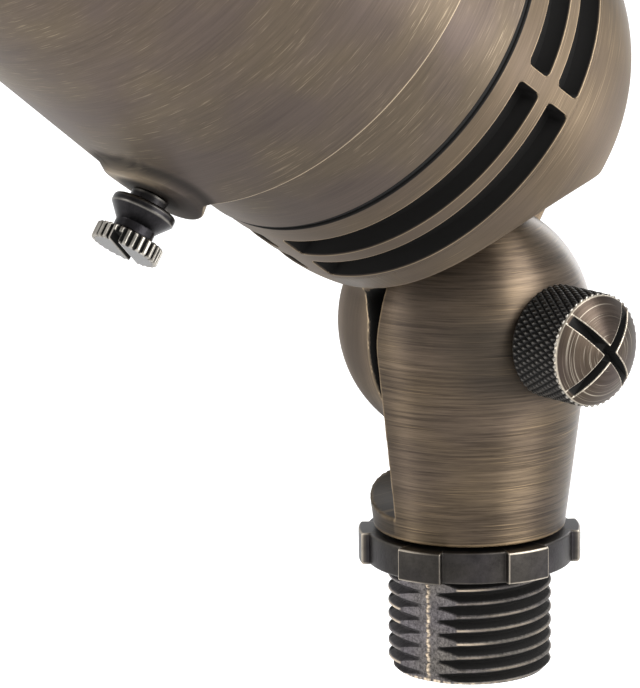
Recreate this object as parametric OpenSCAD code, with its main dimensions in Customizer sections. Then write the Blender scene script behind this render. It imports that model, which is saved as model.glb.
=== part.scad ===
// Landscape spotlight on a half-inch threaded knuckle, aimed by one knurled thumbscrew.
// The origin is the centre of the stem at the lock nut's lower face, with the stem pointing down.
// The head leans towards -X, the thumbscrew stands out towards -Y.

/* [Stem] */
// Crest radius of the half-inch straight pipe thread
thread_r = 10.67; // [10:0.01:12]
// Length of thread below the lock nut
thread_len = 14.5; // [10:0.5:30]
// Chamfer at the lower end of the thread
thread_chamfer = 0.8; // [0.3:0.1:1.5]
// How much the stem steps in above the thread
thread_step = 0.5; // [0.4:0.05:1]
// Wall of the stem between its thread's crest and its wire bore
stem_wall = 4.67; // [4:0.01:6]
// Length of the rubber plug in the stem
grommet_len = 6; // [3:0.5:9]
// How far the plug sits up from the stem's end
grommet_inset = 1; // [0.5:0.1:2]
// Radius of the hole for the supply lead
lead_r = 3; // [2:0.1:3.6]

/* [Lock nut] */
// Thickness of the lock nut
nut_h = 4.2; // [3:0.1:7]
// Wall of the nut outside the thread's crest, between its lugs
nut_wall = 2.83; // [2.5:0.01:5]
// How far the lugs stand out from the nut
lug_out = 1; // [0.5:0.1:3]
// Number of lugs round the nut
lug_count = 6; // [4:1:12]
// Width of one lug as an angle
lug_angle = 24.6; // [12:0.2:28]
// Angle of the first lug
lug_start = 19.6; // [0:0.1:60]
// Gap between the nut and the knuckle
nut_gap = 0.4; // [0.3:0.1:2]

/* [Knuckle] */
// How far the knuckle's foot stands out from the thread's crest
base_lip = 1.78; // [1.5:0.01:3]
// Height of the tilt axis above the knuckle's base
pivot_rise = 27.1; // [24:0.1:40]
// Radius of the near ear's rounded top
ball_r = 15.9; // [15:0.1:18]
// Height of the shelf beside the near ear
shelf_rise = 2.8; // [2:0.1:4]
// Radius of the scoop that forms the shelf
scoop_r = 35; // [30:1:45]
// Gap between the two ears
ear_gap = 0.95; // [0.6:0.05:1.5]
// Width of the near ear's rim outside its hollow
ear_rim = 5.9; // [5.5:0.1:7]
// Depth of the hollow in each ear
pocket_depth = 7; // [5:0.1:8]
// Wall of the hub round the screw in each hollow
hub_wall = 2.2; // [1.6:0.1:3]
// Radius of the wire passage up the near ear
riser_r = 3; // [2:0.1:3.2]
// Distance of the wire passage from the split face
riser_in = 5; // [4.6:0.1:5.4]
// Depth of the flat under the thumbscrew
spot_depth = 0.8; // [0.5:0.1:1.2]
// Distance of the sealing ring's middle from the edge of the hollow
pivot_ring_out = 2.6; // [2.2:0.1:3]
// Half thickness of the sealing ring between the ears
pivot_ring_cs = 0.85; // [0.7:0.05:0.9]

/* [Pivot thumbscrew] */
// Radius of the thumbscrew's shank
shank_r = 3; // [2.5:0.1:3.4]
// Length of thread held by the far ear
shank_bite = 8; // [6:0.5:10]
// Radius of the knurled knob
knob_r = 7.3; // [6.5:0.1:9]
// Length of the knurled band
knob_len = 7.9; // [6:0.1:10]
// Height of the knob's domed end
knob_dome = 2.8; // [1.5:0.1:3.5]
// Chamfer behind the knurled band
knob_chamfer = 0.5; // [0.3:0.1:0.8]
// Width of the crossed slots in the knob
knob_slot_w = 1.4; // [0.8:0.1:1.6]
// Depth of the crossed slots at the knob's middle
knob_slot_depth = 2.4; // [1.5:0.1:2.8]
// Turn of the crossed slots about the knob's axis
knob_slot_turn = 45; // [0:1:90]
// How far the washer's edge lies inside the knob's
washer_in = 0.7; // [0.5:0.1:2]
// Thickness of the washer under the knob
washer_t = 0.3; // [0.2:0.05:0.6]

/* [Rear housing] */
// Elevation of the head above level, as it stands at rest
tilt = 35.2; // [0:0.1:60]
// Gap between the near ear and the housing that is cut to clear it
ear_clear = 5.9; // [4:0.1:7]
// How far the head's axis lies beyond the cut for the near ear
axis_beyond = 0.4; // [0.2:0.1:2]
// Radius of the rear housing
housing_r = 28.4; // [27:0.1:32]
// Distance of the dome's end ahead of the tilt axis
dome_back = 2; // [1.5:0.1:4]
// Length of the domed end
dome_len = 24.5; // [24:0.1:28]
// Length of the straight part of the housing
barrel_len = 13; // [12.5:0.1:20]
// Wall of the housing
housing_wall = 5.9; // [5.5:0.1:7]
// Wall at the end of the dome
dome_wall = 3; // [2.5:0.1:3.5]
// Wall behind the cut for the near ear
cut_wall = 2.6; // [2:0.1:3]
// Depth of the step from the housing down to its spigot
spigot_step = 2.2; // [1.8:0.1:2.6]
// Length of the spigot
spigot_len = 7; // [5:0.1:9]
// Number of slot rows
slot_rows = 2; // [1:1:2]
// Width of one slot along the head
slot_w = 4; // [2:0.1:4.5]
// Band between two slot rows
slot_band = 1.85; // [1.2:0.05:2.2]
// Band between the first slot row and the housing's front
slot_setback = 3.35; // [2:0.05:4]
// Depth of the slots
slot_depth = 3; // [1:0.1:3.2]
// Number of ribs that part the slots of a row
rib_count = 4; // [2:2:8]
// Width of the ribs on the head's lowest and highest lines as an angle
rib_angle = 7.4; // [2:0.1:10]
// Width of the ribs on the head's sides as an angle
side_rib_angle = 4.6; // [2:0.1:10]
// Turn of the first rib from the head's lowest line
rib_start = 1.1; // [-10:0.1:10]

/* [Far ear] */
// How much larger the far ear is than the near ear
far_ball_more = 0.4; // [0:0.1:1]
// How much slimmer the neck behind the dome is than the far ear
neck_less = 7.1; // [5:0.1:8]
// Distance of the neck's axis ahead of the tilt axis
neck_ahead = 4; // [2:0.1:5]
// Radius of the wire passage into the housing
passage_r = 2.6; // [2:0.1:2.8]
// Distance of the wire passage ahead of the tilt axis
passage_ahead = 7; // [6:0.1:7.2]
// Wall of the sleeve in the wire passage
sleeve_wall = 0.7; // [0.5:0.05:1]
// Length of the sleeve in the wire passage
sleeve_len = 6; // [4:0.1:7]

/* [Front body] */
// Dark joint between the housing and the front body
joint_gap = 0.7; // [0.5:0.05:1.2]
// How far the front body stands out from the housing
body_more = 0.2; // [0:0.05:0.4]
// Wall of the front body
body_wall = 3; // [2.8:0.1:3.2]
// Depth of the lens seat from the front edge
seat_depth = 9; // [8.6:0.1:12]
// Thickness of the ledge that carries the lens
ledge_t = 3; // [2.8:0.1:4]
// Width of the ledge inside the front body's bore
ledge_w = 2.1; // [1.8:0.1:3]
// Wall of the front body outside the lens
seat_wall = 2.2; // [2:0.1:2.4]
// Width of the groove for the cowl's sealing ring
groove_w = 2.6; // [2.4:0.1:2.7]
// Depth of the groove for the cowl's sealing ring
groove_depth = 1.6; // [1.4:0.1:1.8]
// Depth of the rubber joint below the body's surface
joint_inset = 0.5; // [0.3:0.1:0.8]

/* [Lens] */
// Thickness of the lens gasket
gasket_t = 0.8; // [0.5:0.1:1.2]
// Thickness of the glass lens
lens_t = 3.2; // [2.5:0.1:4]
// Thickness of the ring that holds the lens
lens_ring_t = 3.6; // [2.5:0.1:4]
// Width of the ring that holds the lens
lens_ring_w = 2.6; // [2.4:0.1:3.4]
// Width of the two spanner notches in the ring
notch_w = 3; // [2:0.1:4]
// Depth of the two spanner notches in the ring
notch_depth = 1.4; // [1:0.1:1.8]

/* [Lamp] */
// Gap between the lamp's rim and the front body's bore
lamp_side = 0.4; // [0.3:0.1:0.6]
// Length of the lamp's reflector
reflector_len = 27; // [24:0.5:30]
// Thickness of the reflector's glass
reflector_wall = 1.5; // [1.2:0.1:2]
// Height of the lamp's straight rim
rim_h = 3; // [2.6:0.1:4]
// Thickness of the lamp's front glass
lamp_glass_t = 1.4; // [1:0.1:2]
// Radius of the lamp's ceramic base
lamp_base_r = 7.5; // [6.5:0.1:8]
// Length of the lamp's ceramic base
lamp_base_len = 12; // [10:0.5:14]
// Gap between the lamp's rim and the lens ledge
lamp_gap = 0.7; // [0.4:0.1:1]
// Radius of the glass burner inside the reflector
capsule_r = 4.2; // [3.5:0.1:5]
// Length of the glass burner
capsule_len = 15; // [12:0.5:18]
// Radius of the lamp's pins
pin_r = 0.75; // [0.6:0.01:0.8]
// Distance between the lamp's two pins
pin_pitch = 5.3; // [5:0.1:6.35]
// Length of the lamp's pins
pin_len = 6.5; // [5:0.1:7.5]

/* [Lampholder] */
// How much wider the lampholder is than the lamp's base
holder_more = 1.1; // [0.5:0.1:2]
// Length of the ceramic lampholder
holder_len = 15.55; // [12:0.05:20]
// Height of the bracket above the tilt axis, along the head
bracket_at = 22; // [21.5:0.1:22.4]
// Thickness of the bracket
bracket_t = 1.2; // [0.8:0.1:1.6]
// Width of the bracket
bracket_w = 13; // [10:0.5:15]
// Radius of the two posts under the bracket
post_r = 3.4; // [3:0.1:4]
// Radius of the bracket screws
screw_r = 1.5; // [1.2:0.1:1.7]
// Length of the bracket screws in their posts
screw_bite = 6; // [4:0.5:7]
// Radius of the bracket screws' heads
screw_head_r = 2.8; // [2.4:0.1:3.2]
// Height of the bracket screws' heads
screw_head_h = 1.8; // [1.2:0.1:2.4]
// Width of the slot in the bracket screws
screw_slot_w = 0.7; // [0.5:0.1:1]

/* [Cowl] */
// Distance from the housing's front to the cowl's rear edge
cowl_setback = 14.6; // [12:0.1:16]
// Thickness of the cowl at its rear edge
cowl_thick = 3.3; // [3:0.1:4.5]
// Taper of the cowl towards its mouth, in degrees
cowl_taper = 3; // [1:0.1:3.2]
// Gap between the cowl's bore and the front body
cowl_gap = 0.6; // [0.5:0.05:0.9]
// Gap between the front body's end and the cowl's inner step
cowl_step_gap = 1.5; // [1:0.1:3]
// Wall of the cowl in front of its step
cowl_wall = 1.8; // [1.5:0.1:2.2]
// Length of the cowl along its top
cowl_top_len = 80; // [74:0.5:95]
// Length of the cowl along its bottom
cowl_bottom_len = 52; // [45:0.5:60]
// Chamfer round the cowl's rear edge
cowl_chamfer = 0.4; // [0.2:0.1:0.6]
// Half thickness of the cowl's sealing ring
cowl_ring_cs = 1.05; // [0.9:0.05:1.1]

/* [Cowl thumbscrew] */
// Radius of the boss that holds the screw
boss_r = 6.8; // [5.5:0.1:8]
// How far the boss face stands out from the cowl's rear edge
boss_out = 0.5; // [0.3:0.1:2]
// Distance of the screw ahead of the cowl's rear edge
boss_ahead = 3; // [2.8:0.1:8]
// Width of the slope at the foot of the boss
boss_skirt = 1.5; // [0.5:0.1:3]
// Radius of the screw's thread
cscrew_r = 2; // [1.6:0.1:2.3]
// Radius of the neck above the boss
neck_in_r = 2.4; // [2:0.1:3]
// Length of the neck above the boss
neck_in_len = 1.35; // [0.6:0.05:3]
// Radius of the flared collar
collar_r = 4.1; // [3.6:0.1:5]
// Thickness of the collar's rim
collar_rim = 1.1; // [0.4:0.1:1.5]
// Radius of the waist behind the head
waist_r = 2.6; // [2.4:0.1:3.4]
// Length of the taper from collar to waist
waist_taper = 1.8; // [1:0.1:4]
// Length of the straight part of the waist
waist_len = 1.35; // [0.5:0.05:3]
// Radius of the knurled head
chead_r = 4.4; // [4:0.1:6]
// Thickness of the knurled head
chead_len = 2.1; // [2:0.1:4]
// Width of the slot in the head
chead_slot_w = 1; // [0.7:0.1:1.4]
// Depth of the slot in the head
chead_slot_depth = 1.2; // [0.8:0.1:1.8]
// Turn of the slot about the screw's axis
chead_slot_turn = 153; // [0:1:180]

/* [Clearances] */
// Radial gap of a turning or sliding fit
run_gap = 0.05; // [0.02:0.01:0.09]
// Gap between pieces of two bodies that only pass each other
pass_gap = 0.3; // [0.3:0.05:0.5]
// Gap between fixed pieces that are fitted together
fit_gap = 0.05; // [0.02:0.01:0.1]

/* [Hidden] */
$fn = 96;
// Steps in a rounded outline
arc_steps = 18;
// Overrun of every cut
over = 1;

// Heights on the stem
base_z = nut_h + nut_gap;
pivot_z = base_z + pivot_rise;
stem_r = thread_r - thread_step;
stem_bore_r = thread_r - stem_wall;
nut_r = thread_r + nut_wall;
base_r = thread_r + base_lip;
nut_bore_r = stem_r + run_gap;
// Radii about the tilt axis
pocket_r = ball_r - ear_rim;
hub_r = shank_r + hub_wall;
pivot_ring_r = pocket_r + pivot_ring_out;
ear_clear_r = ball_r + ear_clear;
far_ball_r = ball_r + far_ball_more;
neck_r = far_ball_r - neck_less;
washer_r = knob_r - washer_in;
axis_rise = ear_clear_r + axis_beyond;
// The cone of the knuckle touches the ball along a circle
base_dist = sqrt(base_r * base_r + pivot_rise * pivot_rise);
touch_angle = acos(ball_r / base_dist) - atan2(pivot_rise, base_r);
// Everything beyond the split face is cut from the near ear
stem_bore_top = base_z - thread_step;
screw_bore_r = shank_r + run_gap;
spot_y = -(ball_r - spot_depth);
knob_back = spot_y - washer_t - fit_gap;
shank_end = ear_gap + shank_bite;

// Radii about the head's axis
cavity_r = housing_r - housing_wall;
spigot_r = housing_r - spigot_step;
body_r = housing_r + body_more;
body_bore_r = body_r - body_wall;
ledge_r = body_bore_r - ledge_w;
lens_seat_r = body_r - seat_wall;
lamp_r = body_bore_r - lamp_side;
holder_r = lamp_base_r + holder_more;
bracket_screw_in = (holder_r + cavity_r) / 2;
cowl_bore_r = body_r + cowl_gap;
cowl_r = cowl_bore_r + cowl_thick;
// Stations along the head, counted from the tilt axis
dome_end = dome_back + dome_len;
housing_front = dome_end + barrel_len;
spigot_front = housing_front + spigot_len;
body_back = housing_front + joint_gap;
// The lampholder and the lamp set how long the front body is
holder_back = bracket_at + bracket_t;
holder_front = holder_back + holder_len;
base_back = holder_front + fit_gap;
lamp_back = base_back + lamp_base_len;
lamp_front = lamp_back + reflector_len;
ledge_back = lamp_front + lamp_gap;
seat_at = ledge_back + ledge_t;
body_front = seat_at + seat_depth;
groove_mid = seat_at - ledge_t / 2;
groove_r = body_r - groove_depth;
cowl_back = housing_front + cowl_setback;
cowl_step_at = body_front + cowl_step_gap;
cowl_slope = tan(cowl_taper);
// Cowl outside radius and inside radius at a station
function cowl_out_r(at) = cowl_r - (at - cowl_back) * cowl_slope;
function cowl_in_r(at) = cowl_out_r(at) - cowl_wall;
cowl_top_at = cowl_back + cowl_top_len;
cowl_bottom_at = cowl_back + cowl_bottom_len;
mouth_angle = atan2(cowl_top_len - cowl_bottom_len, 2 * cowl_r);
boss_at = cowl_back + boss_ahead;
boss_face = cowl_r + boss_out;
screw_tip = body_r + pass_gap;
// Lamp pins stand in the lampholder
pin_hole_r = pin_r + fit_gap;

// A quarter of an oval, from its end on the axis to its widest point
function oval(radius, length, start) = [
    for (i = [0 : arc_steps])
        [radius * sin(90 * i / arc_steps), start + length * (1 - cos(90 * i / arc_steps))]
];

// Places its children in the head's frame: origin on the tilt axis, Z forward, X up
module head_frame() {
    translate([0, 0, pivot_z])
        rotate([0, tilt - 90, 0])
            children();
}

// Places its children on the head's own axis, Z forward
module head_axis(at = 0) {
    head_frame()
        translate([axis_rise, 0, at])
            children();
}

// A cylinder about the tilt axis between two places along Y
module across(radius, from, to) {
    translate([0, to, 0])
        rotate([90, 0, 0])
            cylinder(r = radius, h = to - from);
}

// A tube along Z
module ring(outer, inner, from, to) {
    translate([0, 0, from])
        difference() {
            cylinder(r = outer, h = to - from);
            translate([0, 0, -over])
                cylinder(r = inner, h = to - from + 2 * over);
        }
}

// A round-section ring about Z
module round_ring(middle, half) {
    rotate_extrude()
        translate([middle, 0])
            circle(r = half, $fn = 32);
}

// The hollow round the hub in each ear, between two places along Y
module ear_hollow(from, to) {
    difference() {
        across(pocket_r, from, to);
        across(hub_r, from - over, to + over);
    }
}

// Stem, cone and rounded top, as one turned outline
module knuckle_turned() {
    arc = [
        for (i = [0 : arc_steps])
            let (a = touch_angle + (90 - touch_angle) * i / arc_steps)
                [ball_r * cos(a), pivot_z + ball_r * sin(a)]
    ];
    rotate_extrude()
        polygon(concat(
            [
                [0, -thread_len],
                [thread_r - thread_chamfer, -thread_len],
                [thread_r, thread_chamfer - thread_len],
                [thread_r, 0],
                [stem_r, 0],
                [stem_r, base_z],
                [base_r, base_z]
            ],
            arc
        ));
}

// What the scoop and the split face take off the far side
module far_side() {
    reach = 2 * ball_r + scoop_r;
    intersection() {
        translate([-ball_r - over, 0, base_z + shelf_rise + scoop_r])
            rotate([0, 90, 0])
                cylinder(r = scoop_r, h = 2 * (ball_r + over));
        translate([-reach, 0, 0])
            cube([2 * reach, reach, 2 * reach]);
    }
}

// Stem, shelf and near ear in one casting
module knuckle_base() {
    color("#5a4c40")
        difference() {
            knuckle_turned();
            far_side();
            translate([0, 0, -thread_len - over])
                cylinder(r = stem_bore_r, h = thread_len + stem_bore_top + over);
            translate([0, -riser_in, stem_bore_top - over])
                cylinder(r = riser_r, h = pivot_z - pocket_r + riser_r - stem_bore_top + over);
            translate([0, 0, pivot_z]) {
                ear_hollow(-pocket_depth, over);
                across(screw_bore_r, -ball_r - over, over);
                across(ball_r, spot_y - ball_r, spot_y);
                rotate([90, 0, 0])
                    ring(
                        pivot_ring_r + pivot_ring_cs + fit_gap, pivot_ring_r - pivot_ring_cs - fit_gap,
                        -over, pivot_ring_cs
                    );
            }
        }
}

// Rubber plug that seals the supply lead in the stem
module wire_grommet() {
    color("#1c1c1c")
        translate([0, 0, grommet_inset - thread_len])
            ring(stem_bore_r - fit_gap, lead_r, 0, grommet_len);
}

// Rubber ring between the two ears
module pivot_oring() {
    color("#161616")
        translate([0, fit_gap, pivot_z])
            rotate([90, 0, 0])
                round_ring(pivot_ring_r, pivot_ring_cs);
}

// Thin washer between the thumbscrew and the ear
module thumbscrew_washer() {
    color("#2a2622")
        translate([0, 0, pivot_z])
            difference() {
                across(washer_r, spot_y - washer_t, spot_y);
                across(screw_bore_r, spot_y - washer_t - over, spot_y + over);
            }
}

// Lock nut with lugs, turned on the stem's thread
module lock_nut() {
    color("#4a4038")
        difference() {
            union() {
                cylinder(r = nut_r, h = nut_h);
                for (i = [0 : lug_count - 1])
                    rotate([0, 0, lug_start + i * 360 / lug_count - lug_angle / 2])
                        rotate_extrude(angle = lug_angle)
                            translate([stem_r + (nut_r - stem_r) / 2, 0])
                                square([(nut_r - stem_r) / 2 + lug_out, nut_h]);
            }
            translate([0, 0, -over])
                cylinder(r = nut_bore_r, h = nut_h + 2 * over);
        }
}

// Shank, knurled knob and its crossed slots
module pivot_thumbscrew() {
    dome_r = (knob_r * knob_r + knob_dome * knob_dome) / (2 * knob_dome);
    dome_half = asin(knob_r / dome_r);
    dome = [
        for (i = [arc_steps : -1 : 0])
            let (a = dome_half * i / arc_steps)
                [dome_r * sin(a), -knob_back + knob_len + knob_dome - dome_r * (1 - cos(a))]
    ];
    color("#3a322c")
        translate([0, 0, pivot_z])
            difference() {
                rotate([90, 0, 0])
                    rotate_extrude()
                        polygon(concat(
                            [
                                [0, -shank_end],
                                [shank_r, -shank_end],
                                [shank_r, -knob_back],
                                [knob_r - knob_chamfer, -knob_back],
                                [knob_r, knob_chamfer - knob_back]
                            ],
                            dome
                        ));
                for (turn = [knob_slot_turn, knob_slot_turn + 90])
                    rotate([0, turn, 0])
                        translate([
                            -knob_r - over, knob_back - knob_len - knob_dome - over, -knob_slot_w / 2
                        ])
                            cube([2 * (knob_r + over), knob_slot_depth + over, knob_slot_w]);
            }
}

// Outer form of the housing: dome, barrel and spigot
module housing_turned() {
    head_axis()
        rotate_extrude()
            polygon(concat(
                oval(housing_r, dome_len, dome_back),
                [
                    [housing_r, housing_front],
                    [spigot_r, housing_front],
                    [spigot_r, spigot_front],
                    [0, spigot_front]
                ]
            ));
}

// Far half ear and the neck that joins it to the dome
module far_ear() {
    head_frame()
        intersection() {
            union() {
                translate([0, ear_gap, 0])
                    sphere(r = far_ball_r);
                translate([0, ear_gap, neck_ahead])
                    rotate([0, 90, 0])
                        cylinder(r = neck_r, h = axis_rise);
            }
            translate([-far_ball_r - over, ear_gap, -far_ball_r - over])
                cube([
                    axis_rise + far_ball_r + over, far_ball_r + over, 2 * (far_ball_r + over)
                ]);
        }
}

// Two posts inside the housing that carry the bracket
module bracket_posts() {
    for (side = [-1, 1])
        translate([axis_rise, side * bracket_screw_in, 0])
            difference() {
                cylinder(r = post_r, h = bracket_at);
                translate([0, 0, bracket_at - screw_bite - over])
                    cylinder(r = screw_r + fit_gap, h = screw_bite + 2 * over);
            }
}

// Hollow of the housing, kept off the cut for the near ear
module housing_hollow() {
    head_frame()
        difference() {
            translate([axis_rise, 0, 0])
                rotate_extrude()
                    polygon(concat(
                        oval(cavity_r, dome_len - dome_wall, dome_back + dome_wall),
                        [
                            [cavity_r, spigot_front + over],
                            [0, spigot_front + over]
                        ]
                    ));
            across(ear_clear_r + cut_wall, -housing_r - over, ear_gap + cut_wall);
            bracket_posts();
        }
}

// One row of slots: a ring-shaped groove left whole at the ribs
module slot_row(at) {
    for (i = [0 : rib_count - 1])
        let (rib = i % 2 == 0 ? rib_angle : side_rib_angle)
            rotate([0, 0, 180 - rib_start + i * 360 / rib_count + rib / 2])
                rotate_extrude(angle = 360 / rib_count - (rib_angle + side_rib_angle) / 2)
                    translate([housing_r - slot_depth, at])
                        square([slot_depth + over, slot_w]);
}

// Rear housing with far ear, slots and cut for the near ear
module rear_housing() {
    color("#5d4f43")
        difference() {
            union() {
                housing_turned();
                far_ear();
            }
            housing_hollow();
            head_frame() {
                across(ear_clear_r, -housing_r - over, ear_gap);
                ear_hollow(ear_gap - over, ear_gap + pocket_depth);
                across(screw_bore_r, ear_gap - over, shank_end + over);
                translate([hub_r, ear_gap + pocket_depth / 2, passage_ahead])
                    rotate([0, 90, 0])
                        cylinder(r = passage_r, h = pocket_r);
            }
            head_axis()
                for (row = [1 : slot_rows])
                    slot_row(housing_front - slot_setback - row * slot_w - (row - 1) * slot_band);
        }
}

// Rubber sleeve that keeps the lamp's wires off the passage
module passage_sleeve() {
    color("#202020")
        head_frame()
            translate([pocket_r - passage_r, ear_gap + pocket_depth / 2, passage_ahead])
                rotate([0, 90, 0])
                    ring(passage_r - fit_gap, passage_r - sleeve_wall, 0, sleeve_len);
}

// Flat rubber ring in the joint between housing and front body
module housing_gasket() {
    color("#141414")
        head_axis()
            ring(
                body_r - joint_inset, spigot_r + fit_gap,
                housing_front + fit_gap, body_back - fit_gap
            );
}

// Front body: barrel, ledge for the lens, groove for the sealing ring
module front_body() {
    color("#5d4f43")
        head_axis()
            rotate_extrude()
                polygon([
                    [spigot_r + fit_gap, body_back],
                    [body_r, body_back],
                    [body_r, groove_mid - groove_w / 2],
                    [groove_r, groove_mid - groove_w / 2],
                    [groove_r, groove_mid + groove_w / 2],
                    [body_r, groove_mid + groove_w / 2],
                    [body_r, body_front],
                    [lens_seat_r, body_front],
                    [lens_seat_r, seat_at],
                    [ledge_r, seat_at],
                    [ledge_r, ledge_back],
                    [body_bore_r, ledge_back],
                    [body_bore_r, spigot_front + joint_gap],
                    [spigot_r + fit_gap, spigot_front + joint_gap]
                ]);
}

// Ceramic lampholder with two pin holes
module lampholder() {
    color("#d8d2c4")
        head_axis(holder_back)
            difference() {
                cylinder(r = holder_r, h = holder_front - holder_back);
                for (side = [-1, 1])
                    translate([0, side * pin_pitch / 2, holder_front - holder_back - pin_len - over])
                        cylinder(r = pin_hole_r, h = pin_len + 2 * over);
            }
}

// Steel strap that holds the lampholder on its two posts
module lampholder_bracket() {
    strap = bracket_screw_in + post_r;
    color("#9a9a98")
        head_axis(bracket_at)
            difference() {
                translate([-bracket_w / 2, -strap, 0])
                    cube([bracket_w, 2 * strap, bracket_t]);
                for (side = [-1, 1])
                    translate([0, side * bracket_screw_in, -over])
                        cylinder(r = screw_r + fit_gap, h = bracket_t + 2 * over);
            }
}

// The two screws of the bracket
module bracket_screws() {
    color("#a8a8a4")
        head_axis(holder_back)
            for (side = [-1, 1])
                translate([0, side * bracket_screw_in, 0])
                    difference() {
                        union() {
                            cylinder(r = screw_head_r, h = screw_head_h);
                            translate([0, 0, -bracket_t - screw_bite])
                                cylinder(r = screw_r, h = bracket_t + screw_bite);
                        }
                        translate([-screw_head_r - over, -screw_slot_w / 2, screw_head_h / 2])
                            cube([2 * (screw_head_r + over), screw_slot_w, screw_head_h]);
                    }
}

// Ceramic base of the lamp
module lamp_base() {
    color("#cfc8b8")
        head_axis(base_back)
            cylinder(r = lamp_base_r, h = lamp_base_len - fit_gap);
}

// The lamp's two pins, pushed into the lampholder
module lamp_pins() {
    color("#b8b8b8")
        head_axis(base_back - pin_len)
            for (side = [-1, 1])
                translate([0, side * pin_pitch / 2, 0])
                    cylinder(r = pin_r, h = pin_len);
}

// Glass reflector of the lamp: a bowl with a straight rim
module lamp_reflector() {
    bowl = reflector_len - rim_h;
    color("#c8ccd0")
        head_axis(lamp_back)
            rotate_extrude()
                difference() {
                    polygon(concat(
                        [[0, 0]],
                        [for (p = oval(lamp_r, bowl, 0)) if (p[0] > lamp_base_r) p],
                        [
                            [lamp_r, reflector_len],
                            [0, reflector_len]
                        ]
                    ));
                    polygon(concat(
                        [
                            [0, 2 * reflector_wall],
                            [lamp_base_r, 2 * reflector_wall]
                        ],
                        [
                            for (p = oval(lamp_r - reflector_wall, bowl - reflector_wall, reflector_wall))
                                if (p[1] > 2 * reflector_wall) p
                        ],
                        [
                            [lamp_r - reflector_wall, reflector_len + over],
                            [0, reflector_len + over]
                        ]
                    ));
                }
}

// Glass burner that stands in the reflector
module lamp_capsule() {
    color("#e8ecee")
        head_axis(lamp_back + 2 * reflector_wall + fit_gap)
            rotate_extrude()
                polygon(concat(
                    [
                        [0, 0],
                        [capsule_r, 0]
                    ],
                    [
                        for (i = [0 : arc_steps])
                            let (a = 90 * i / arc_steps)
                                [capsule_r * cos(a), capsule_len - capsule_r * (1 - sin(a))]
                    ]
                ));
}

// Front glass of the lamp, inside its rim
module lamp_front_glass() {
    color("#dfe8ea")
        head_axis(lamp_front - lamp_glass_t)
            cylinder(r = lamp_r - reflector_wall - fit_gap, h = lamp_glass_t);
}

// Silicone gasket under the lens
module lens_gasket() {
    color("#303030")
        head_axis()
            ring(lens_seat_r - fit_gap, ledge_r, seat_at, seat_at + gasket_t);
}

// Toughened glass lens
module lens() {
    color("#dfe8ea")
        head_axis(seat_at + gasket_t)
            cylinder(r = lens_seat_r - fit_gap, h = lens_t);
}

// Threaded ring that holds the lens, with two spanner notches
module lens_ring() {
    from = seat_at + gasket_t + lens_t;
    outer = lens_seat_r - fit_gap;
    color("#5a4c40")
        head_axis()
            difference() {
                ring(outer, outer - lens_ring_w, from, from + lens_ring_t);
                translate([-notch_w / 2, -outer - over, from + lens_ring_t - notch_depth])
                    cube([notch_w, 2 * (outer + over), notch_depth + over]);
            }
}

// Rubber ring that the cowl slides over
module cowl_oring() {
    color("#181818")
        head_axis(groove_mid)
            round_ring(cowl_bore_r - run_gap - cowl_ring_cs, cowl_ring_cs);
}

// Places its children on the cowl screw's axis, Z pointing outwards from the head's axis
module cowl_screw_axis() {
    head_axis(boss_at)
        rotate([0, -90, 0])
            children();
}

// Wall of the cowl as one turned outline, up to the end of its top
module cowl_turned() {
    rotate_extrude()
        polygon([
            [cowl_bore_r, cowl_back],
            [cowl_r - cowl_chamfer, cowl_back],
            [cowl_r, cowl_back + cowl_chamfer],
            [cowl_out_r(cowl_top_at), cowl_top_at],
            [cowl_in_r(cowl_top_at), cowl_top_at],
            [cowl_in_r(cowl_step_at), cowl_step_at],
            [cowl_bore_r, cowl_step_at]
        ]);
}

// Cowl with its slanted mouth, screw boss and bore
module cowl() {
    color("#5f5145")
        difference() {
            union() {
                head_axis()
                    cowl_turned();
                intersection() {
                    cowl_screw_axis() {
                        cylinder(r = boss_r, h = boss_face - boss_skirt);
                        translate([0, 0, boss_face - boss_skirt])
                            cylinder(r1 = boss_r + boss_skirt, r2 = boss_r - over, h = boss_skirt + over);
                    }
                    head_axis(boss_at - 2 * boss_r)
                        cylinder(r = boss_face, h = 4 * boss_r);
                }
            }
            head_axis(cowl_back - 2 * boss_r)
                cylinder(r = cowl_bore_r, h = cowl_step_at - cowl_back + 2 * boss_r);
            head_axis(cowl_top_at)
                translate([cowl_r, 0, 0])
                    rotate([0, -mouth_angle, 0])
                        translate([-4 * cowl_r, -2 * cowl_r, 0])
                            cube([5 * cowl_r, 4 * cowl_r, cowl_top_len]);
            cowl_screw_axis()
                cylinder(r = cscrew_r + run_gap, h = boss_face + over);
        }
}

// Thumbscrew of the cowl: thread, neck, flared collar, waist and slotted head
module cowl_thumbscrew() {
    neck_at = boss_face + fit_gap;
    collar_at = neck_at + neck_in_len;
    waist_at = collar_at + collar_rim + waist_taper;
    head_at = waist_at + waist_len;
    end_at = head_at + chead_len;
    color("#3a342e")
        cowl_screw_axis()
            difference() {
                rotate_extrude()
                    polygon([
                        [0, screw_tip],
                        [cscrew_r, screw_tip],
                        [cscrew_r, neck_at],
                        [neck_in_r, neck_at],
                        [neck_in_r, collar_at],
                        [collar_r, collar_at],
                        [collar_r, collar_at + collar_rim],
                        [waist_r, waist_at],
                        [waist_r, head_at],
                        [chead_r, head_at],
                        [chead_r, end_at],
                        [0, end_at]
                    ]);
                rotate([0, 0, chead_slot_turn])
                    translate([-chead_r - over, -chead_slot_w / 2, end_at - chead_slot_depth])
                        cube([2 * (chead_r + over), chead_slot_w, chead_slot_depth + over]);
            }
}

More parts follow.
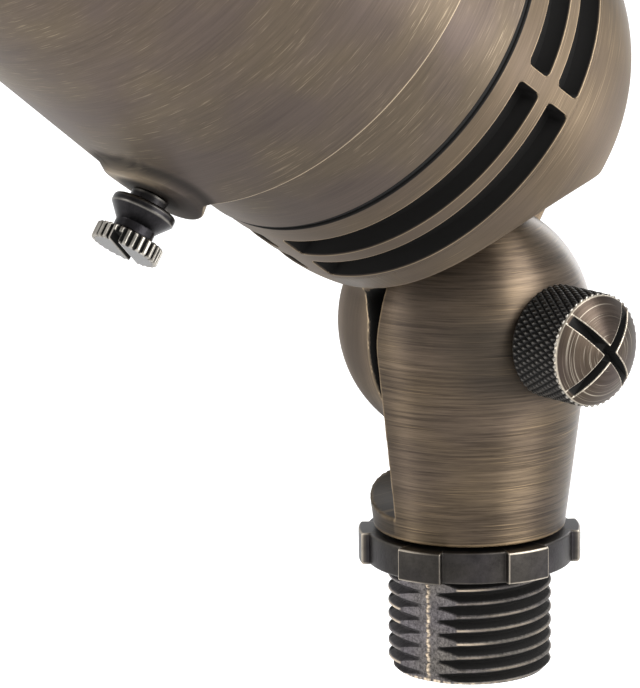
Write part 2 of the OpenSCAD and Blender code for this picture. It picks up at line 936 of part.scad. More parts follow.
knuckle_base();
wire_grommet();
pivot_oring();
thumbscrew_washer();
lock_nut();
pivot_thumbscrew();
rear_housing();
passage_sleeve();
housing_gasket();
front_body();
lampholder();
lampholder_bracket();
bracket_screws();
lamp_base();
lamp_pins();
lamp_reflector();
lamp_capsule();
lamp_front_glass();
lens_gasket();
lens();
lens_ring();
cowl_oring();
cowl();
cowl_thumbscrew();
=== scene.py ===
import bpy
import math
import numpy as np
from mathutils import Matrix, Vector


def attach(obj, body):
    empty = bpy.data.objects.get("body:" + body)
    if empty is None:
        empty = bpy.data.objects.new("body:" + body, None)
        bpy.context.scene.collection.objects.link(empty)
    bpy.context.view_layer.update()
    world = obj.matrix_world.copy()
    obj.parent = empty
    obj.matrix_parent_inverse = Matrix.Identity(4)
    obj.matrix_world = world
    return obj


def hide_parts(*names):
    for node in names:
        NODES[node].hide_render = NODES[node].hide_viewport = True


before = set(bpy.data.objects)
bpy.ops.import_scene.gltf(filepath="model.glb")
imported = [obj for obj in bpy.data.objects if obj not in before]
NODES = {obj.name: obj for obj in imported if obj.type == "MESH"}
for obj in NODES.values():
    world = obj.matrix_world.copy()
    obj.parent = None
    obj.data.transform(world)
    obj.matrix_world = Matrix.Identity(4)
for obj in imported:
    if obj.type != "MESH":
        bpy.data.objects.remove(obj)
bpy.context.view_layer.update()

# Sizes are in millimetres and angles in degrees. Those of the solids are as in the part's source.
# How far the thread stays inside its solid, the usual rounding of an edge, and the deepest shade painted
# below
SKIN = 0.01
EDGE = 0.3
SHADE_BELOW = 0.26

# Stem and lock nut
THREAD_R = 10.67
THREAD_LEN = 14.5
THREAD_PITCH = 1.814
THREAD_ROOT = 9.5
THREAD_FLAT = 9.62
PARTING_AT = 13
STEM_R = 10.1
STEM_BORE = 6.02
NUT_R = 13.5
NUT_BORE = 10.3
NUT_H = 4.2
LUG_OUT = 0.99
LUG_COUNT = 6
LUG_HALF = 12.3
LUG_START = 19.6

# Knuckle with the near ear
BASE_Z = 4.6
BASE_R = 12.45
SHELF_Z = 7.4
SCOOP_R = 35.0
PIVOT_Z = 31.7
BALL_R = 15.9
FLAT_DEPTH = 0.8
HOLLOW_R = 10.0
HOLLOW_DEPTH = 7.0
HUB_R = 5.2
SCREW_BORE = 3.05
RING_R = 12.6
RING_HALF = 0.9
RING_DEPTH = 0.88
RISER_R = 3.0
RISER_IN = 5.0

# Pivot thumbscrew
SHANK_R = 3.0
KNOB_R = 7.3
KNOB_BACK = 15.45
KNOB_LEN = 7.9
KNOB_DOME = 2.8
KNOB_TEETH = 46
KNOB_SLOT_W = 1.4
KNOB_SLOT_DEPTH = 2.4
CAP_R = 7.08
CAP_DEPTH = 3.1

# Rear housing with the far ear
TILT = math.radians(35.2)
AXIS_RISE = 22.2
EAR_GAP = 0.95
FAR_BALL_R = BALL_R + 0.4
NECK_R = 9.2
NECK_AHEAD = 4.0
CUT_R = BALL_R + 5.9
CUT_WALL = 2.6
HOUSING_R = 28.4
HOUSING_BORE = 22.5
HOUSING_FRONT = 39.5
DOME_BACK = 2.0
DOME_LEN = 24.5
DOME_WALL = 3.0
BARREL_FROM = 25.8
SPIGOT_R = 26.2
SPIGOT_LEN = 7.0
POST_OUT = 15.55
POST_R = 3.4
POST_END = 22.0
POST_BORE = 1.55
POST_BORE_FROM = 16.0
FAR_BORE_DEPTH = 9.0
PASSAGE_R = 2.6
PASSAGE_IN = 3.5
PASSAGE_AHEAD = 7.0
PASSAGE_LEN = 10.0
SLOT_W = 4.0
SLOT_ROUND = 0.9
SLOT_BAND = 1.85
SLOT_SETBACK = 3.35
SLOT_DEPTH = 3.0
FRONT_ROW = HOUSING_FRONT - SLOT_SETBACK - SLOT_W / 2
REAR_ROW = FRONT_ROW - SLOT_W - SLOT_BAND
RIB_AT = 178.9
RIB_HALF = 3.7
SIDE_RIB_HALF = 2.3

# Front body
BODY_R = 28.6
BODY_BACK = HOUSING_FRONT + 0.7
BODY_FRONT = 90.5
BODY_BORE = 25.6
GROOVE_BACK = 78.2
GROOVE_FRONT = 80.8
GROOVE_R = 27.0
SEAT_Z = 81.5
SEAT_R = 26.4
LEDGE_Z = 78.5
LEDGE_R = 23.5
JOINT_LIP = 0.35
BLACK_LIP = 0.24

# Cowl
COWL_R = 32.5
COWL_BACK = 54.1
COWL_TOP_LEN = 80.0
COWL_LOW_LEN = 52.0
COWL_BORE = 29.2
COWL_STEP = 92.0
COWL_WALL = 1.8
COWL_SLOPE = math.tan(math.radians(3.0))
MOUTH_R = 28.8
MOUTH_IN = 0.35
BOSS_R = 6.8
BOSS_AT = 57.1
BOSS_FACE = 33.0
BOSS_IN = 0.5
BOSS_OUT = 1.6
TAB_ROUND = 1.8

# Cowl's thumbscrew: each part's radius, and its ends' distances from the head's axis
SCREW_R = 1.95
SCREW_ENDS = (28.9, 33.5)
SCREW_NECK_R = 2.35
SCREW_NECK_ENDS = (33.1, 34.7)
COLLAR_R = 4.1
COLLAR_ENDS = (34.4, 38.8)
WAIST_R = 2.6
CONE_ENDS = (35.5, 37.3)
HEAD_R = 4.4
HEAD_ENDS = (38.65, 40.75)
HEAD_GROOVES = 28
HEAD_GROOVE_DEPTH = 0.45
HEAD_SLOT_HALF = 0.55
HEAD_SLOT_FROM = 39.55
HEAD_SLOT_TURN = 153

# Where a local frame's X, Y and Z point in the row frame, and its origin
HX = np.array([math.sin(TILT), 0.0, math.cos(TILT)])
HY = np.array([0.0, 1.0, 0.0])
HZ = np.array([-math.cos(TILT), 0.0, math.sin(TILT)])
PIVOT = np.array([0.0, 0.0, PIVOT_Z])
FRAMES = {
    "stem": (np.eye(3), np.zeros(3)),
    "axis": (np.array([HX, HY, HZ]), PIVOT + AXIS_RISE * HX),
    "pivot": (np.array([[1.0, 0, 0], [0, 0, 1.0], [0, -1.0, 0]]), PIVOT),
    "cowl_screw": (np.array([HZ, HY, -HX]), PIVOT + AXIS_RISE * HX + BOSS_AT * HZ),
}

# The photograph's camera: place in metres, turn, rise and roll in degrees, lens in millimetres
CAMERA_AT = (-0.452788, -0.484663, 0.185074)
CAMERA_TURN = -41.389
CAMERA_RISE = 13.268
CAMERA_ROLL = -0.568
CAMERA_LENS = 275.44

# Each lamp's name, turn and rise about the object, size in metres and power in watts
LAMPS = (
    ("key", 286, 16, (0.58, 0.9), 11.8),
    ("back", 25, 3, (0.32, 0.8), 2.1),
    ("left", 157, 8, (0.25, 0.8), 3.4),
    ("top", 302, 48, (0.45, 0.45), 5.5),
)
LAMP_AWAY = 0.9
LAMP_AIM_Z = 0.05
FLOOR_Z = -0.06
FLOOR_HALF = 3


def to_row(points, name):
    """Points of a local frame in the row frame: origin + x X + y Y + z Z."""
    axes, origin = FRAMES[name]
    return points @ axes + origin


def turn_row(vectors, name):
    """Directions of a local frame in the row frame."""
    return vectors @ FRAMES[name][0]


def unit(v):
    """Vectors at length one."""
    return v / np.maximum(np.linalg.norm(v, axis=-1, keepdims=True), 1e-12)


def smooth(t):
    """3t^2 - 2t^3 of t held between 0 and 1."""
    t = np.clip(t, 0, 1)
    return t * t * (3 - 2 * t)


def bell(t):
    """e to the power of -t^2: 1 at 0, near 0 beyond 2."""
    return np.exp(-t ** 2)


def make(name, body, nodes, where, points, faces, normals, wear, dark=None, girth=14.0, brush=None):
    """A mesh of a local frame's points, with its own normals and the fields that the materials read.

    cyl holds (girth cos, girth sin, height) in mm about the brushing axis, tang the brushing direction,
    wear how much an edge is rubbed and dark how black a recess is, and how much shade is painted. The
    materials clamp these two. The brushing goes round the frame's Z, or brush gives each point's place
    and direction in its stead.
    """
    points = np.asarray(points, float).reshape(-1, 3)
    mesh = bpy.data.meshes.new(name)
    mesh.from_pydata([], [], [])
    mesh.vertices.add(len(points))
    mesh.vertices.foreach_set("co", (to_row(points, where) / 1000).astype(np.float32).ravel())
    faces = np.asarray(faces, int)
    count = len(faces)
    mesh.loops.add(count * 4)
    mesh.polygons.add(count)
    mesh.polygons.foreach_set("loop_start", np.arange(count) * 4)
    mesh.polygons.foreach_set("loop_total", np.full(count, 4))
    mesh.loops.foreach_set("vertex_index", faces.ravel())
    mesh.update(calc_edges=True)
    mesh.validate()
    mesh.shade_smooth()
    if normals is not None:
        normals = turn_row(normals.reshape(-1, 3), where)
        mesh.normals_split_custom_set_from_vertices(normals.astype(np.float32))
    spot, way = brush or (points, np.stack([-points[:, 1], points[:, 0], 0 * points[:, 0]], 1))
    angle = np.arctan2(spot[:, 1], spot[:, 0])
    add_field(mesh, "cyl", np.stack([girth * np.cos(angle), girth * np.sin(angle), spot[:, 2]], 1))
    add_field(mesh, "tang", turn_row(unit(way), where))
    add_field(mesh, "wear", wear.ravel())
    add_field(mesh, "dark", np.zeros(len(points)) if dark is None else dark.ravel())
    obj = bpy.data.objects.new(name, mesh)
    bpy.context.scene.collection.objects.link(obj)
    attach(obj, body)
    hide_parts(*nodes)
    return obj


def add_field(mesh, name, values):
    """A field of one number or one vector per vertex."""
    values = np.asarray(values, np.float32)
    if values.ndim == 1:
        field = mesh.attributes.new(name, "FLOAT", "POINT")
        field.data.foreach_set("value", values)
    else:
        field = mesh.attributes.new(name, "FLOAT_VECTOR", "POINT")
        field.data.foreach_set("vector", values.ravel())


def rounded(corners, steps=5):
    """A closed outline of (radius, height, rounding) corners, with its normals.

    Each corner becomes an arc of the given radius that touches both of its sides. Returns points,
    outward normals and the rubbing, 1 at the middle of outer arcs, for an anticlockwise outline.
    """
    corners = np.asarray(corners, float)
    pts, nrm, out = [], [], []
    count = len(corners)
    for i in range(count):
        here, r = corners[i, :2], corners[i, 2]
        a = corners[i - 1, :2] - here
        b = corners[(i + 1) % count, :2] - here
        la, lb = np.linalg.norm(a), np.linalg.norm(b)
        a, b = a / la, b / lb
        half = math.acos(np.clip(a @ b, -1, 1)) / 2
        n_in = np.array([-a[1], a[0]])
        n_out = np.array([b[1], -b[0]])
        if half > math.pi / 2 - 0.02 or r <= 0:
            pts.append(here)
            nrm.append(unit(n_in + n_out))
            out.append(0.0)
            continue
        r = min(r, 0.48 * min(la, lb) * math.tan(half))
        back = r / math.tan(half)
        outer = (n_in @ b) < 0
        sign = 1.0 if outer else -1.0
        centre = here + a * back - sign * n_in * r
        a0 = math.atan2(*(sign * n_in)[::-1])
        a1 = math.atan2(*(sign * n_out)[::-1])
        while a1 - a0 > math.pi:
            a1 -= 2 * math.pi
        while a1 - a0 < -math.pi:
            a1 += 2 * math.pi
        for t in np.linspace(0, 1, steps):
            ang = a0 + (a1 - a0) * t
            ray = np.array([math.cos(ang), math.sin(ang)])
            pts.append(centre + ray * r)
            nrm.append(sign * ray)
            out.append(1.0 - abs(2 * t - 1) if outer and half < 1.25 else 0.0)
    return np.array(pts), np.array(nrm), np.array(out)


def grid_faces(rows, cols, closed=True):
    """Quads of a grid of rows by cols points, its columns in a ring and its rows in a ring or not."""
    i, j = np.meshgrid(np.arange(rows if closed else rows - 1), np.arange(cols), indexing="ij")
    i2, j2 = (i + 1) % rows, (j + 1) % cols
    return np.stack([i * cols + j, i * cols + j2, i2 * cols + j2, i2 * cols + j], -1).reshape(-1, 4)


def spin(r, z, a):
    """Points (r cos a, r sin a, z), with r and z one per row or one per point, and one a per column."""
    r, z = (v[:, None] if v.ndim == 1 else v for v in (np.asarray(r), np.asarray(z)))
    return np.stack(np.broadcast_arrays(r * np.cos(a), r * np.sin(a), z), -1)


def framed(values, before, after, filler):
    """A grid of values with rows of one number for the plain rows before and after it."""
    first, last = (np.full((len(rows), values.shape[1]), filler) for rows in (before, after))
    return np.concatenate([first, values, last])


def lines(*stretches):
    """Grid lines through stretches of (start, end, step) that follow each other."""
    starts = [np.arange(a, b - step / 2, step) for a, b, step in stretches]
    return np.concatenate(starts + [[stretches[-1][1]]])


def crossings(values, inside, cells):
    """The mean place of the sign changes on each cell's twelve edges, and which cells have any."""
    total = np.zeros(cells + (3,))
    hits = np.zeros(cells)
    for axis in range(3):
        others = [k for k in range(3) if k != axis]
        for u in (0, 1):
            for v in (0, 1):
                first = [slice(0, cells[k]) for k in range(3)]
                first[others[0]] = slice(u, u + cells[others[0]])
                first[others[1]] = slice(v, v + cells[others[1]])
                second = list(first)
                second[axis] = slice(1, 1 + cells[axis])
                f0, f1 = values[tuple(first)], values[tuple(second)]
                cross = inside[tuple(first)] != inside[tuple(second)]
                t = np.where(cross, f0 / np.where(cross, f0 - f1, 1.0), 0.0)
                offset = [0.0, 0.0, 0.0]
                offset[others[0]], offset[others[1]] = u, v
                for k in range(3):
                    total[..., k] += cross * (t if k == axis else offset[k])
                hits += cross
    used = hits > 0
    return total[used] / hits[used][:, None], used


def net_faces(inside, index, cells):
    """A quad of the four cells round each grid edge whose ends differ in sign."""
    faces = []
    for axis in range(3):
        u, v = (axis + 1) % 3, (axis + 2) % 3
        first = [slice(1, cells[k]) for k in range(3)]
        first[axis] = slice(0, cells[axis])
        second = list(first)
        second[axis] = slice(1, 1 + cells[axis])
        cross = inside[tuple(first)] != inside[tuple(second)]
        flip = inside[tuple(first)][cross]
        at = np.argwhere(cross)
        for k in (u, v):
            at[:, k] += 1
        quad = []
        for du, dv in ((-1, -1), (0, -1), (0, 0), (-1, 0)):
            cell = at.copy()
            cell[:, u] += du
            cell[:, v] += dv
            quad.append(index[cell[:, 0], cell[:, 1], cell[:, 2]])
        quad = np.stack(quad, 1)
        quad[~flip] = quad[~flip][:, ::-1]
        faces.append(quad)
    return np.concatenate(faces)


def nets(field, axes):
    """Surface nets of field = 0 on the cells between three sets of grid lines.

    Each cell with a sign change holds one point, first at the mean of its edges' crossings, then moved
    three times by p - f g / |g|^2. Returns points, faces and unit normals g / |g|.
    """
    reach = 0.5 * max(np.diff(v).max() for v in axes)
    shape = tuple(len(v) for v in axes)
    values = np.empty(shape)
    for i in range(0, shape[0], 12):
        block = np.stack(np.meshgrid(axes[0][i:i + 12], axes[1], axes[2], indexing="ij"), -1)
        values[i:i + 12] = field(block.reshape(-1, 3)).reshape(block.shape[:3])
    inside = values < 0
    cells = tuple(n - 1 for n in shape)
    share, used = crossings(values, inside, cells)
    index = np.full(cells, -1)
    index[used] = np.arange(used.sum())
    where = np.argwhere(used)
    corner = [axes[k][where[:, k]] for k in range(3)]
    width = [np.diff(axes[k])[where[:, k]] for k in range(3)]
    points = np.stack([corner[k] + share[:, k] * width[k] for k in range(3)], 1)
    faces = net_faces(inside, index, cells)
    for _ in range(3):
        g, f = slope(field, points), field(points)
        move = -f[:, None] * g / np.maximum((g * g).sum(1), 0.05)[:, None]
        length = np.linalg.norm(move, axis=1, keepdims=True)
        points = points + move * np.minimum(1, reach / np.maximum(length, 1e-9))
    normals = unit(slope(field, points))
    p = points[faces]
    facing = np.cross(p[:, 2] - p[:, 0], p[:, 3] - p[:, 1])
    if (facing * normals[faces[:, 0]]).sum() < 0:
        faces = faces[:, ::-1]
    return points, faces, normals


def slope(field, points, e=0.02):
    """The gradient of a field by central differences."""
    g = np.empty_like(points)
    for k in range(3):
        d = np.zeros(3)
        d[k] = e
        g[:, k] = (field(points + d) - field(points - d)) / (2 * e)
    return g


def bend(field, points, e=0.35):
    """How strongly the surface curves outwards, from the field's second differences."""
    total = -6 * field(points)
    for k in range(3):
        d = np.zeros(3)
        d[k] = e
        total = total + field(points + d) + field(points - d)
    return total / (e * e)


def join(a, b, k):
    """Smooth minimum of two fields: min(a, b) - h^2 k / 4 with h = max(k - |a - b|, 0) / k."""
    h = np.maximum(k - np.abs(a - b), 0) / k
    return np.minimum(a, b) - h * h * k / 4


def keep(a, b, k):
    """Smooth maximum of two fields, used to cut one by the other's outside."""
    return -join(-a, -b, k)


def within(z, ends):
    """Distance outside the stretch between two heights."""
    return np.maximum(ends[0] - z, z - ends[1])


def near_face(z):
    """Where the near ear's inner face stands: y = 0 at the top, 0.45 from the pivot's height down."""
    return 0.45 * smooth((PIVOT_Z + 4 - z) / 6)


def knuckle_field(p):
    """The knuckle: cone and ball, less scoop, ear's hollow, ring's groove, screw bore and riser.

    The cone's radius is R + m (z - base), with m chosen so that it touches the ball.
    """
    x, y, z = p[:, 0], p[:, 1], p[:, 2]
    r = np.hypot(x, y)
    rise = PIVOT_Z - BASE_Z
    a = math.acos(BALL_R / math.hypot(BASE_R, rise)) - math.atan2(rise, BASE_R)
    touch_r, touch_z = BALL_R * math.cos(a), PIVOT_Z + BALL_R * math.sin(a)
    m = (touch_r - BASE_R) / (touch_z - BASE_Z)
    cone = (r - BASE_R - m * (z - BASE_Z)) / math.hypot(1, m)
    ball = np.sqrt(x * x + y * y + (z - PIVOT_Z) ** 2) - BALL_R
    d = np.where(r * (PIVOT_Z - touch_z) < (PIVOT_Z - z) * touch_r, cone, ball)
    d = keep(d, BASE_Z - z, 0.35)
    scoop = np.hypot(y, z - (SHELF_Z + SCOOP_R)) - SCOOP_R
    d = keep(d, -keep(scoop, near_face(z) - y, 0.4), EDGE)
    d = keep(d, FLAT_DEPTH - BALL_R - y, 0.25)
    rho = np.hypot(x, z - PIVOT_Z)
    hollow = np.maximum(np.maximum(rho - HOLLOW_R, HUB_R - rho), -HOLLOW_DEPTH - y)
    groove = np.maximum(np.abs(rho - RING_R) - RING_HALF, -RING_DEPTH - y)
    riser = np.maximum(np.hypot(x, y + RISER_IN) - RISER_R, z - (PIVOT_Z - HOLLOW_DEPTH))
    holes = np.minimum(np.minimum(hollow, groove), np.minimum(riser, rho - SCREW_BORE))
    return keep(d, -holes, EDGE)


def slot_field(a, z):
    """Distance to the two rows of slots: rounded rectangles on the unrolled barrel.

    The ribs between them stand at 178.9 degrees and each quarter turn from there, by turns wide and slim.
    """
    angle = np.degrees(a - math.radians(RIB_AT)) % 180
    wide = np.minimum(angle, 180 - angle) - RIB_HALF
    slim = np.abs(angle - 90) - SIDE_RIB_HALF
    along = -np.radians(np.minimum(wide, slim)) * HOUSING_R
    best = np.full(along.shape, 1e3)
    for middle in (REAR_ROW, FRONT_ROW):
        qx, qz = along + SLOT_ROUND, np.abs(z - middle) - (SLOT_W / 2 - SLOT_ROUND)
        beside = np.hypot(np.maximum(qx, 0), np.maximum(qz, 0))
        best = np.minimum(best, beside + np.minimum(np.maximum(qx, qz), 0) - SLOT_ROUND)
    return best


def dome_field(x, y, z, radius, length, end):
    """A barrel that ends in half an oval of the given length, whose tip is at height end."""
    r = np.hypot(x, y)
    q = np.minimum(z - end - length, 0)
    k0 = np.sqrt((r / radius) ** 2 + (q / length) ** 2)
    k1 = np.sqrt((r / radius ** 2) ** 2 + (q / length ** 2) ** 2)
    return k0 * (k0 - 1) / np.maximum(k1, 1e-6)


def far_face(px, z):
    """Where the far ear's inner face stands: at the gap, and 1.7 further back at its front upper edge."""
    rise, ahead = px * HX[2] + z * HZ[2], -px * HX[0] - z * HZ[0]
    return EAR_GAP + 1.7 * smooth((rise - 1.5) / 5.5) * smooth((ahead - 5) / 4)


def housing_field(p):
    """The rear housing up to its barrel: dome, far ear and neck, less the near ear's cut and the hollows."""
    x, y, z = p[:, 0], p[:, 1], p[:, 2]
    px = x + AXIS_RISE
    body = dome_field(x, y, z, HOUSING_R, DOME_LEN, DOME_BACK)
    ball = np.sqrt(px ** 2 + (y - EAR_GAP) ** 2 + z * z) - FAR_BALL_R
    neck = np.hypot(y - EAR_GAP, z - NECK_AHEAD) - NECK_R
    neck = np.maximum(neck, np.abs(px - AXIS_RISE / 2) - AXIS_RISE / 2)
    ear = keep(join(ball, neck, 1.5), far_face(px, z) - y, EDGE)
    d = join(body, ear, 2.0)
    rho = np.hypot(px, z)
    d = keep(d, -keep(rho - CUT_R, y - EAR_GAP, 0.5), 0.7)
    d = np.maximum(d, z - BARREL_FROM)
    hollow = dome_field(x, y, z, HOUSING_BORE, DOME_LEN - DOME_WALL, DOME_BACK + DOME_WALL)
    hollow = np.maximum(hollow, -np.maximum(rho - CUT_R - CUT_WALL, y - (EAR_GAP + CUT_WALL)))
    off_post = np.hypot(x, np.abs(y) - POST_OUT)
    post = np.maximum(off_post - POST_R, z - POST_END)
    post = np.maximum(post, -np.maximum(off_post - POST_BORE, POST_BORE_FROM - z))
    hollow = np.maximum(hollow, -post)
    pocket = np.maximum(np.maximum(rho - HOLLOW_R, HUB_R - rho), y - (EAR_GAP + HOLLOW_DEPTH))
    bore = np.maximum(rho - SCREW_BORE, y - (EAR_GAP + FAR_BORE_DEPTH))
    passage = np.hypot(y - (EAR_GAP + PASSAGE_IN), z - PASSAGE_AHEAD) - PASSAGE_R
    passage = np.maximum(passage, np.abs(px - (HUB_R + PASSAGE_LEN / 2)) - PASSAGE_LEN / 2)
    holes = np.minimum(np.minimum(hollow, pocket), np.minimum(bore, passage))
    return keep(d, -holes, EDGE)


def painted_underside_shade(off, deepest):
    """Shade painted on the turned parts below: a bell of 32 degrees, 25 either side of six o'clock."""
    return deepest * bell((off - 25) / 32)


def build_knuckle():
    """The knuckle's casting: rubbed edges, painted shade between the ears and near the knob."""
    points, faces, normals = nets(knuckle_field, (
        lines((-16.9, 16.9, 0.45)),
        lines((-16.1, -14.4, 0.2), (-14.4, -0.6, 0.46), (-0.6, 0.6, 0.15), (0.6, 14.2, 0.5)),
        lines((4.2, 5.2, 0.2), (5.2, 48.7, 0.45)),
    ))
    x, y, z = points.T
    height = z - PIVOT_Z
    rho = np.hypot(x, height)
    wear = 0.5 * smooth((bend(knuckle_field, points) - 0.6) / 1.4)
    # Painted shade on the face towards the far ear: black in the gap, but for its rubbed rim
    split = np.minimum((y - near_face(z) + 0.3) / 0.2, (BALL_R - 0.4 - rho) / 1.5)
    # The knob's shade on the side that faces it, and a slight one on the upper left
    knob = 0.5 * smooth((14.5 - rho) / 5) * (y < -8) * smooth((height + 11) / 9) * smooth((5 - height) / 4)
    left = 0.13 * smooth((height + 2) / 4) * smooth((-x - 5) / 4)
    dark = np.maximum(split, (knob + left) * smooth((-y - 1) / 3))
    # Black painted shade in the ear's hollow; the shelf is darker
    in_hollow = (rho < HOLLOW_R + 0.2) & (y > -HOLLOW_DEPTH - 0.2) & (y < 0.5)
    on_shelf = (y > 0.6) & (z > 5.2)
    dark = np.where(on_shelf, 0.45, np.where(in_hollow, 1.0, dark))
    return make("knuckle_casting", "knuckle", ["knuckle_base"], "stem", points, faces, normals,
                wear, np.clip(dark, -2, 1))


def build_thread():
    """The stem's thread: r = root + (crest - root) w(z / pitch - a / 2 pi), w a rounded tooth.

    Round the casting's two parting lines, at 13 and 193 degrees, a plane 9.62 mm out cuts the crests, so
    that they run out to points. A thin uneven ridge stands on each line.
    """
    crest, end = THREAD_R - SKIN, THREAD_LEN - SKIN
    half = lines((-90, -29, 2.4), (-29, -3, 0.65), (-3, 3, 0.25), (3, 29, 0.65), (29, 90, 2.4))[:-1]
    a = np.radians(np.concatenate([half + PARTING_AT, half + PARTING_AT + 180]))
    z = np.linspace(-end, -0.02, 290)
    za, aa = np.meshgrid(z, a, indexing="ij")
    off = np.tile(half, (len(z), 2))
    da = np.abs(off)
    # The tooth, and the gritty plane that cuts it near a parting line
    phase = (za / THREAD_PITCH - aa / (2 * math.pi)) % 1.0
    tooth = np.clip(1.14 - np.abs(phase - 0.5) * 2.45, 0, 1)
    tooth = smooth(tooth) * 0.3 + tooth * 0.7
    plane = np.where(da < 60, THREAD_FLAT / np.cos(np.radians(np.minimum(da, 60))), 99.0)
    grit = np.sin(aa * 61 + za * 11.1) * np.sin(aa * 87 - za * 13.3)
    grit = grit + np.sin(aa * 143 + za * 19) * np.sin(za * 23 - aa * 37)
    plane = plane + grit * 0.012
    r = np.maximum(THREAD_ROOT + (crest - THREAD_ROOT) * tooth, THREAD_FLAT - 0.3 * smooth((da - 7) / 9))
    r = np.minimum(r, plane)
    depth = np.minimum(crest, plane) - r
    # A wavy, broken ridge on the parting line, then the chamfer at the lower end
    aside = np.radians(off) * 9.6 + 0.09 * np.sin(3.3 * za) + 0.05 * np.sin(8.1 * za + 2)
    lump = 0.55 + 0.45 * np.sin(2.9 * za + 1.3) * np.sin(6.7 * za) + 0.15 * np.sin(19 * za)
    lump = np.clip(lump, 0, 1)
    ridge = bell(aside / 0.19)
    r = np.minimum(r + grit * 0.008 + 0.34 * lump * ridge, crest)
    r = np.minimum(r, np.where(za < -13.7, np.maximum(za + THREAD_LEN, 0) + 9.75, 99))
    inner = spin([6.3, STEM_BORE, 6.25], [BASE_Z - 0.05, EDGE - THREAD_LEN, -end], a)
    outer = spin([STEM_R, STEM_R], [0.02, BASE_Z + 0.02], a)
    points = np.concatenate([inner, spin(r, za, a), outer])
    # Crests are rubbed in patches where the plane doesn't cut them, and less so towards the sides, which get
    # painted shade
    patchy = np.clip(0.5 + 0.7 * np.sin(aa * 5 + za * 1.7) * np.sin(aa * 2.3 - za * 0.9), 0.1, 1)
    whole = 1 - smooth((crest - plane) / 0.12)
    beside = np.maximum(smooth((off - 14) / 45), smooth((-52 - off) / 6))
    wear = 0.75 * smooth((tooth - 0.9) / 0.1) * whole * patchy * (1 - 0.5 * beside)
    speckle = np.clip(0.5 + 0.9 * np.sin(aa * 23 + 1) * np.sin(aa * 61), 0, 1)
    wear = np.maximum(wear + 1.7 * ridge * lump, smooth((-14.05 - za) / 0.2) * speckle)
    # Painted shade: hollows are black, but paler on the left of a parting line, and the sides half dark
    dark = smooth((depth - 0.05) / 0.22) * np.where((off < 0) & (off > -56), 0.62, 1.0)
    dark = np.maximum(dark, 0.5 * beside)
    wear, dark = framed(wear, inner, outer, 0.0), framed(dark, inner, outer, 1.0)
    return make("stem_thread", "knuckle", ["knuckle_base"], "stem", points, grid_faces(len(points), len(a)),
                None, wear, dark, 10.0)


def build_nut():
    """The lock nut: outer radius R + out s(a), s a step of 24.6 degrees at each of six lugs."""
    part = lines((-30, -14, 2), (-14, -10.6, 0.2), (-10.6, 10.6, 1.6), (10.6, 14, 0.2), (14, 30, 2))[:-1]
    pitch = 360 // LUG_COUNT
    a = np.radians(np.concatenate([part + LUG_START + pitch * k for k in range(LUG_COUNT)]))
    off = np.abs(np.tile(part, LUG_COUNT))
    lug = smooth((LUG_HALF + 0.4 - off) / 0.8)
    pts, _, out = rounded([
        [NUT_BORE, 0.0, 0.25], [NUT_R, 0.0, 0.3], [NUT_R, NUT_H, 0.3], [NUT_BORE, NUT_H, 0.25],
    ], 7)
    share = smooth((pts[:, 0] - 11.6) / 1.2)
    r = pts[:, 0][:, None] + share[:, None] * (lug * LUG_OUT)[None, :]
    edge = 1.1 * bell((off - 11.85) / 0.24)
    patchy = 0.6 + 0.4 * np.sin(a * 7 + 1) * np.sin(a * 3)
    wear = (out[:, None] * (0.12 + 0.88 * lug)[None, :] + share[:, None] * edge[None, :]) * patchy[None, :]
    return make("lock_nut_body", "nut", ["lock_nut"], "stem", spin(r, pts[:, 1], a),
                grid_faces(len(pts), len(a)), None, wear)


def build_dome():
    """The rear housing up to its barrel, from its field. The far ear's brushing goes round the pivot."""
    points, faces, normals = nets(housing_field, (
        lines((-39.4, 29.4, 0.46)),
        lines((-29.4, 0.4, 0.46), (0.4, 2.8, 0.2), (2.8, 29.4, 0.46)),
        lines((-17.4, 24.9, 0.46), (24.9, 26.2, 0.1)),
    ))
    x, y, z = points.T
    px = x + AXIS_RISE
    rho = np.hypot(px, z)
    off_face = y - far_face(px, z)
    # Rubbed edges away from the near ear, and a bright line along the far ear's inner edge
    wear = 0.35 * smooth((bend(housing_field, points) - 0.6) / 1.4) * (z < 24) * ((y > 5) | (rho > 17.5))
    wear = np.maximum(wear, (1.0 - np.abs(off_face - 0.44) / 0.14) * (rho > 14) * (rho < 17))
    # Painted shade: black on the far ear's inner face in the gap, darker round its neck and below
    dark = np.minimum((0.38 - off_face) / 0.12, (16.8 - rho) / 0.1)
    dark = np.maximum(dark, 0.3 * smooth((y - 2) / 2) * smooth((9.5 - y) / 3.5) * (rho < 17.2))
    below = painted_underside_shade(np.degrees(np.arctan2(np.abs(y), -x)), 0.2)
    dark = np.maximum(dark, np.where((y < 0.9) | (rho > 19), below, -2))
    ear = ((rho < 17.5) & (y > 0.5) & (np.hypot(x, y) > 20) | (x < -26))[:, None]
    spot = np.where(ear, np.stack([z, px, y], 1), points)
    way = np.where(ear, np.stack([z, 0 * z, -px], 1), np.stack([-y, x, 0 * z], 1))
    return make("housing_casting", "head", ["rear_housing"], "axis", points, faces, normals,
                wear, np.clip(dark, -2, 1), 28.0, (spot, way))


def barrel_angles():
    """The barrel's angles: one a degree, and finer steps from 3.8 outside to 0.8 inside each rib's ends."""
    near = np.array([-3.8, -3.0, -2.2, -1.6, -1.1, -0.7, -0.4, -0.2, -0.08, 0.0, 0.08, 0.2, 0.4, 0.8])
    a = [np.arange(0, 360, 1.0)]
    for k in range(4):
        half = SIDE_RIB_HALF if k % 2 else RIB_HALF
        a.append(RIB_AT + 90 * k - half + near)
        a.append(RIB_AT + 90 * k + half - near)
    return np.radians(np.unique(np.round(np.concatenate(a) % 360, 3)))


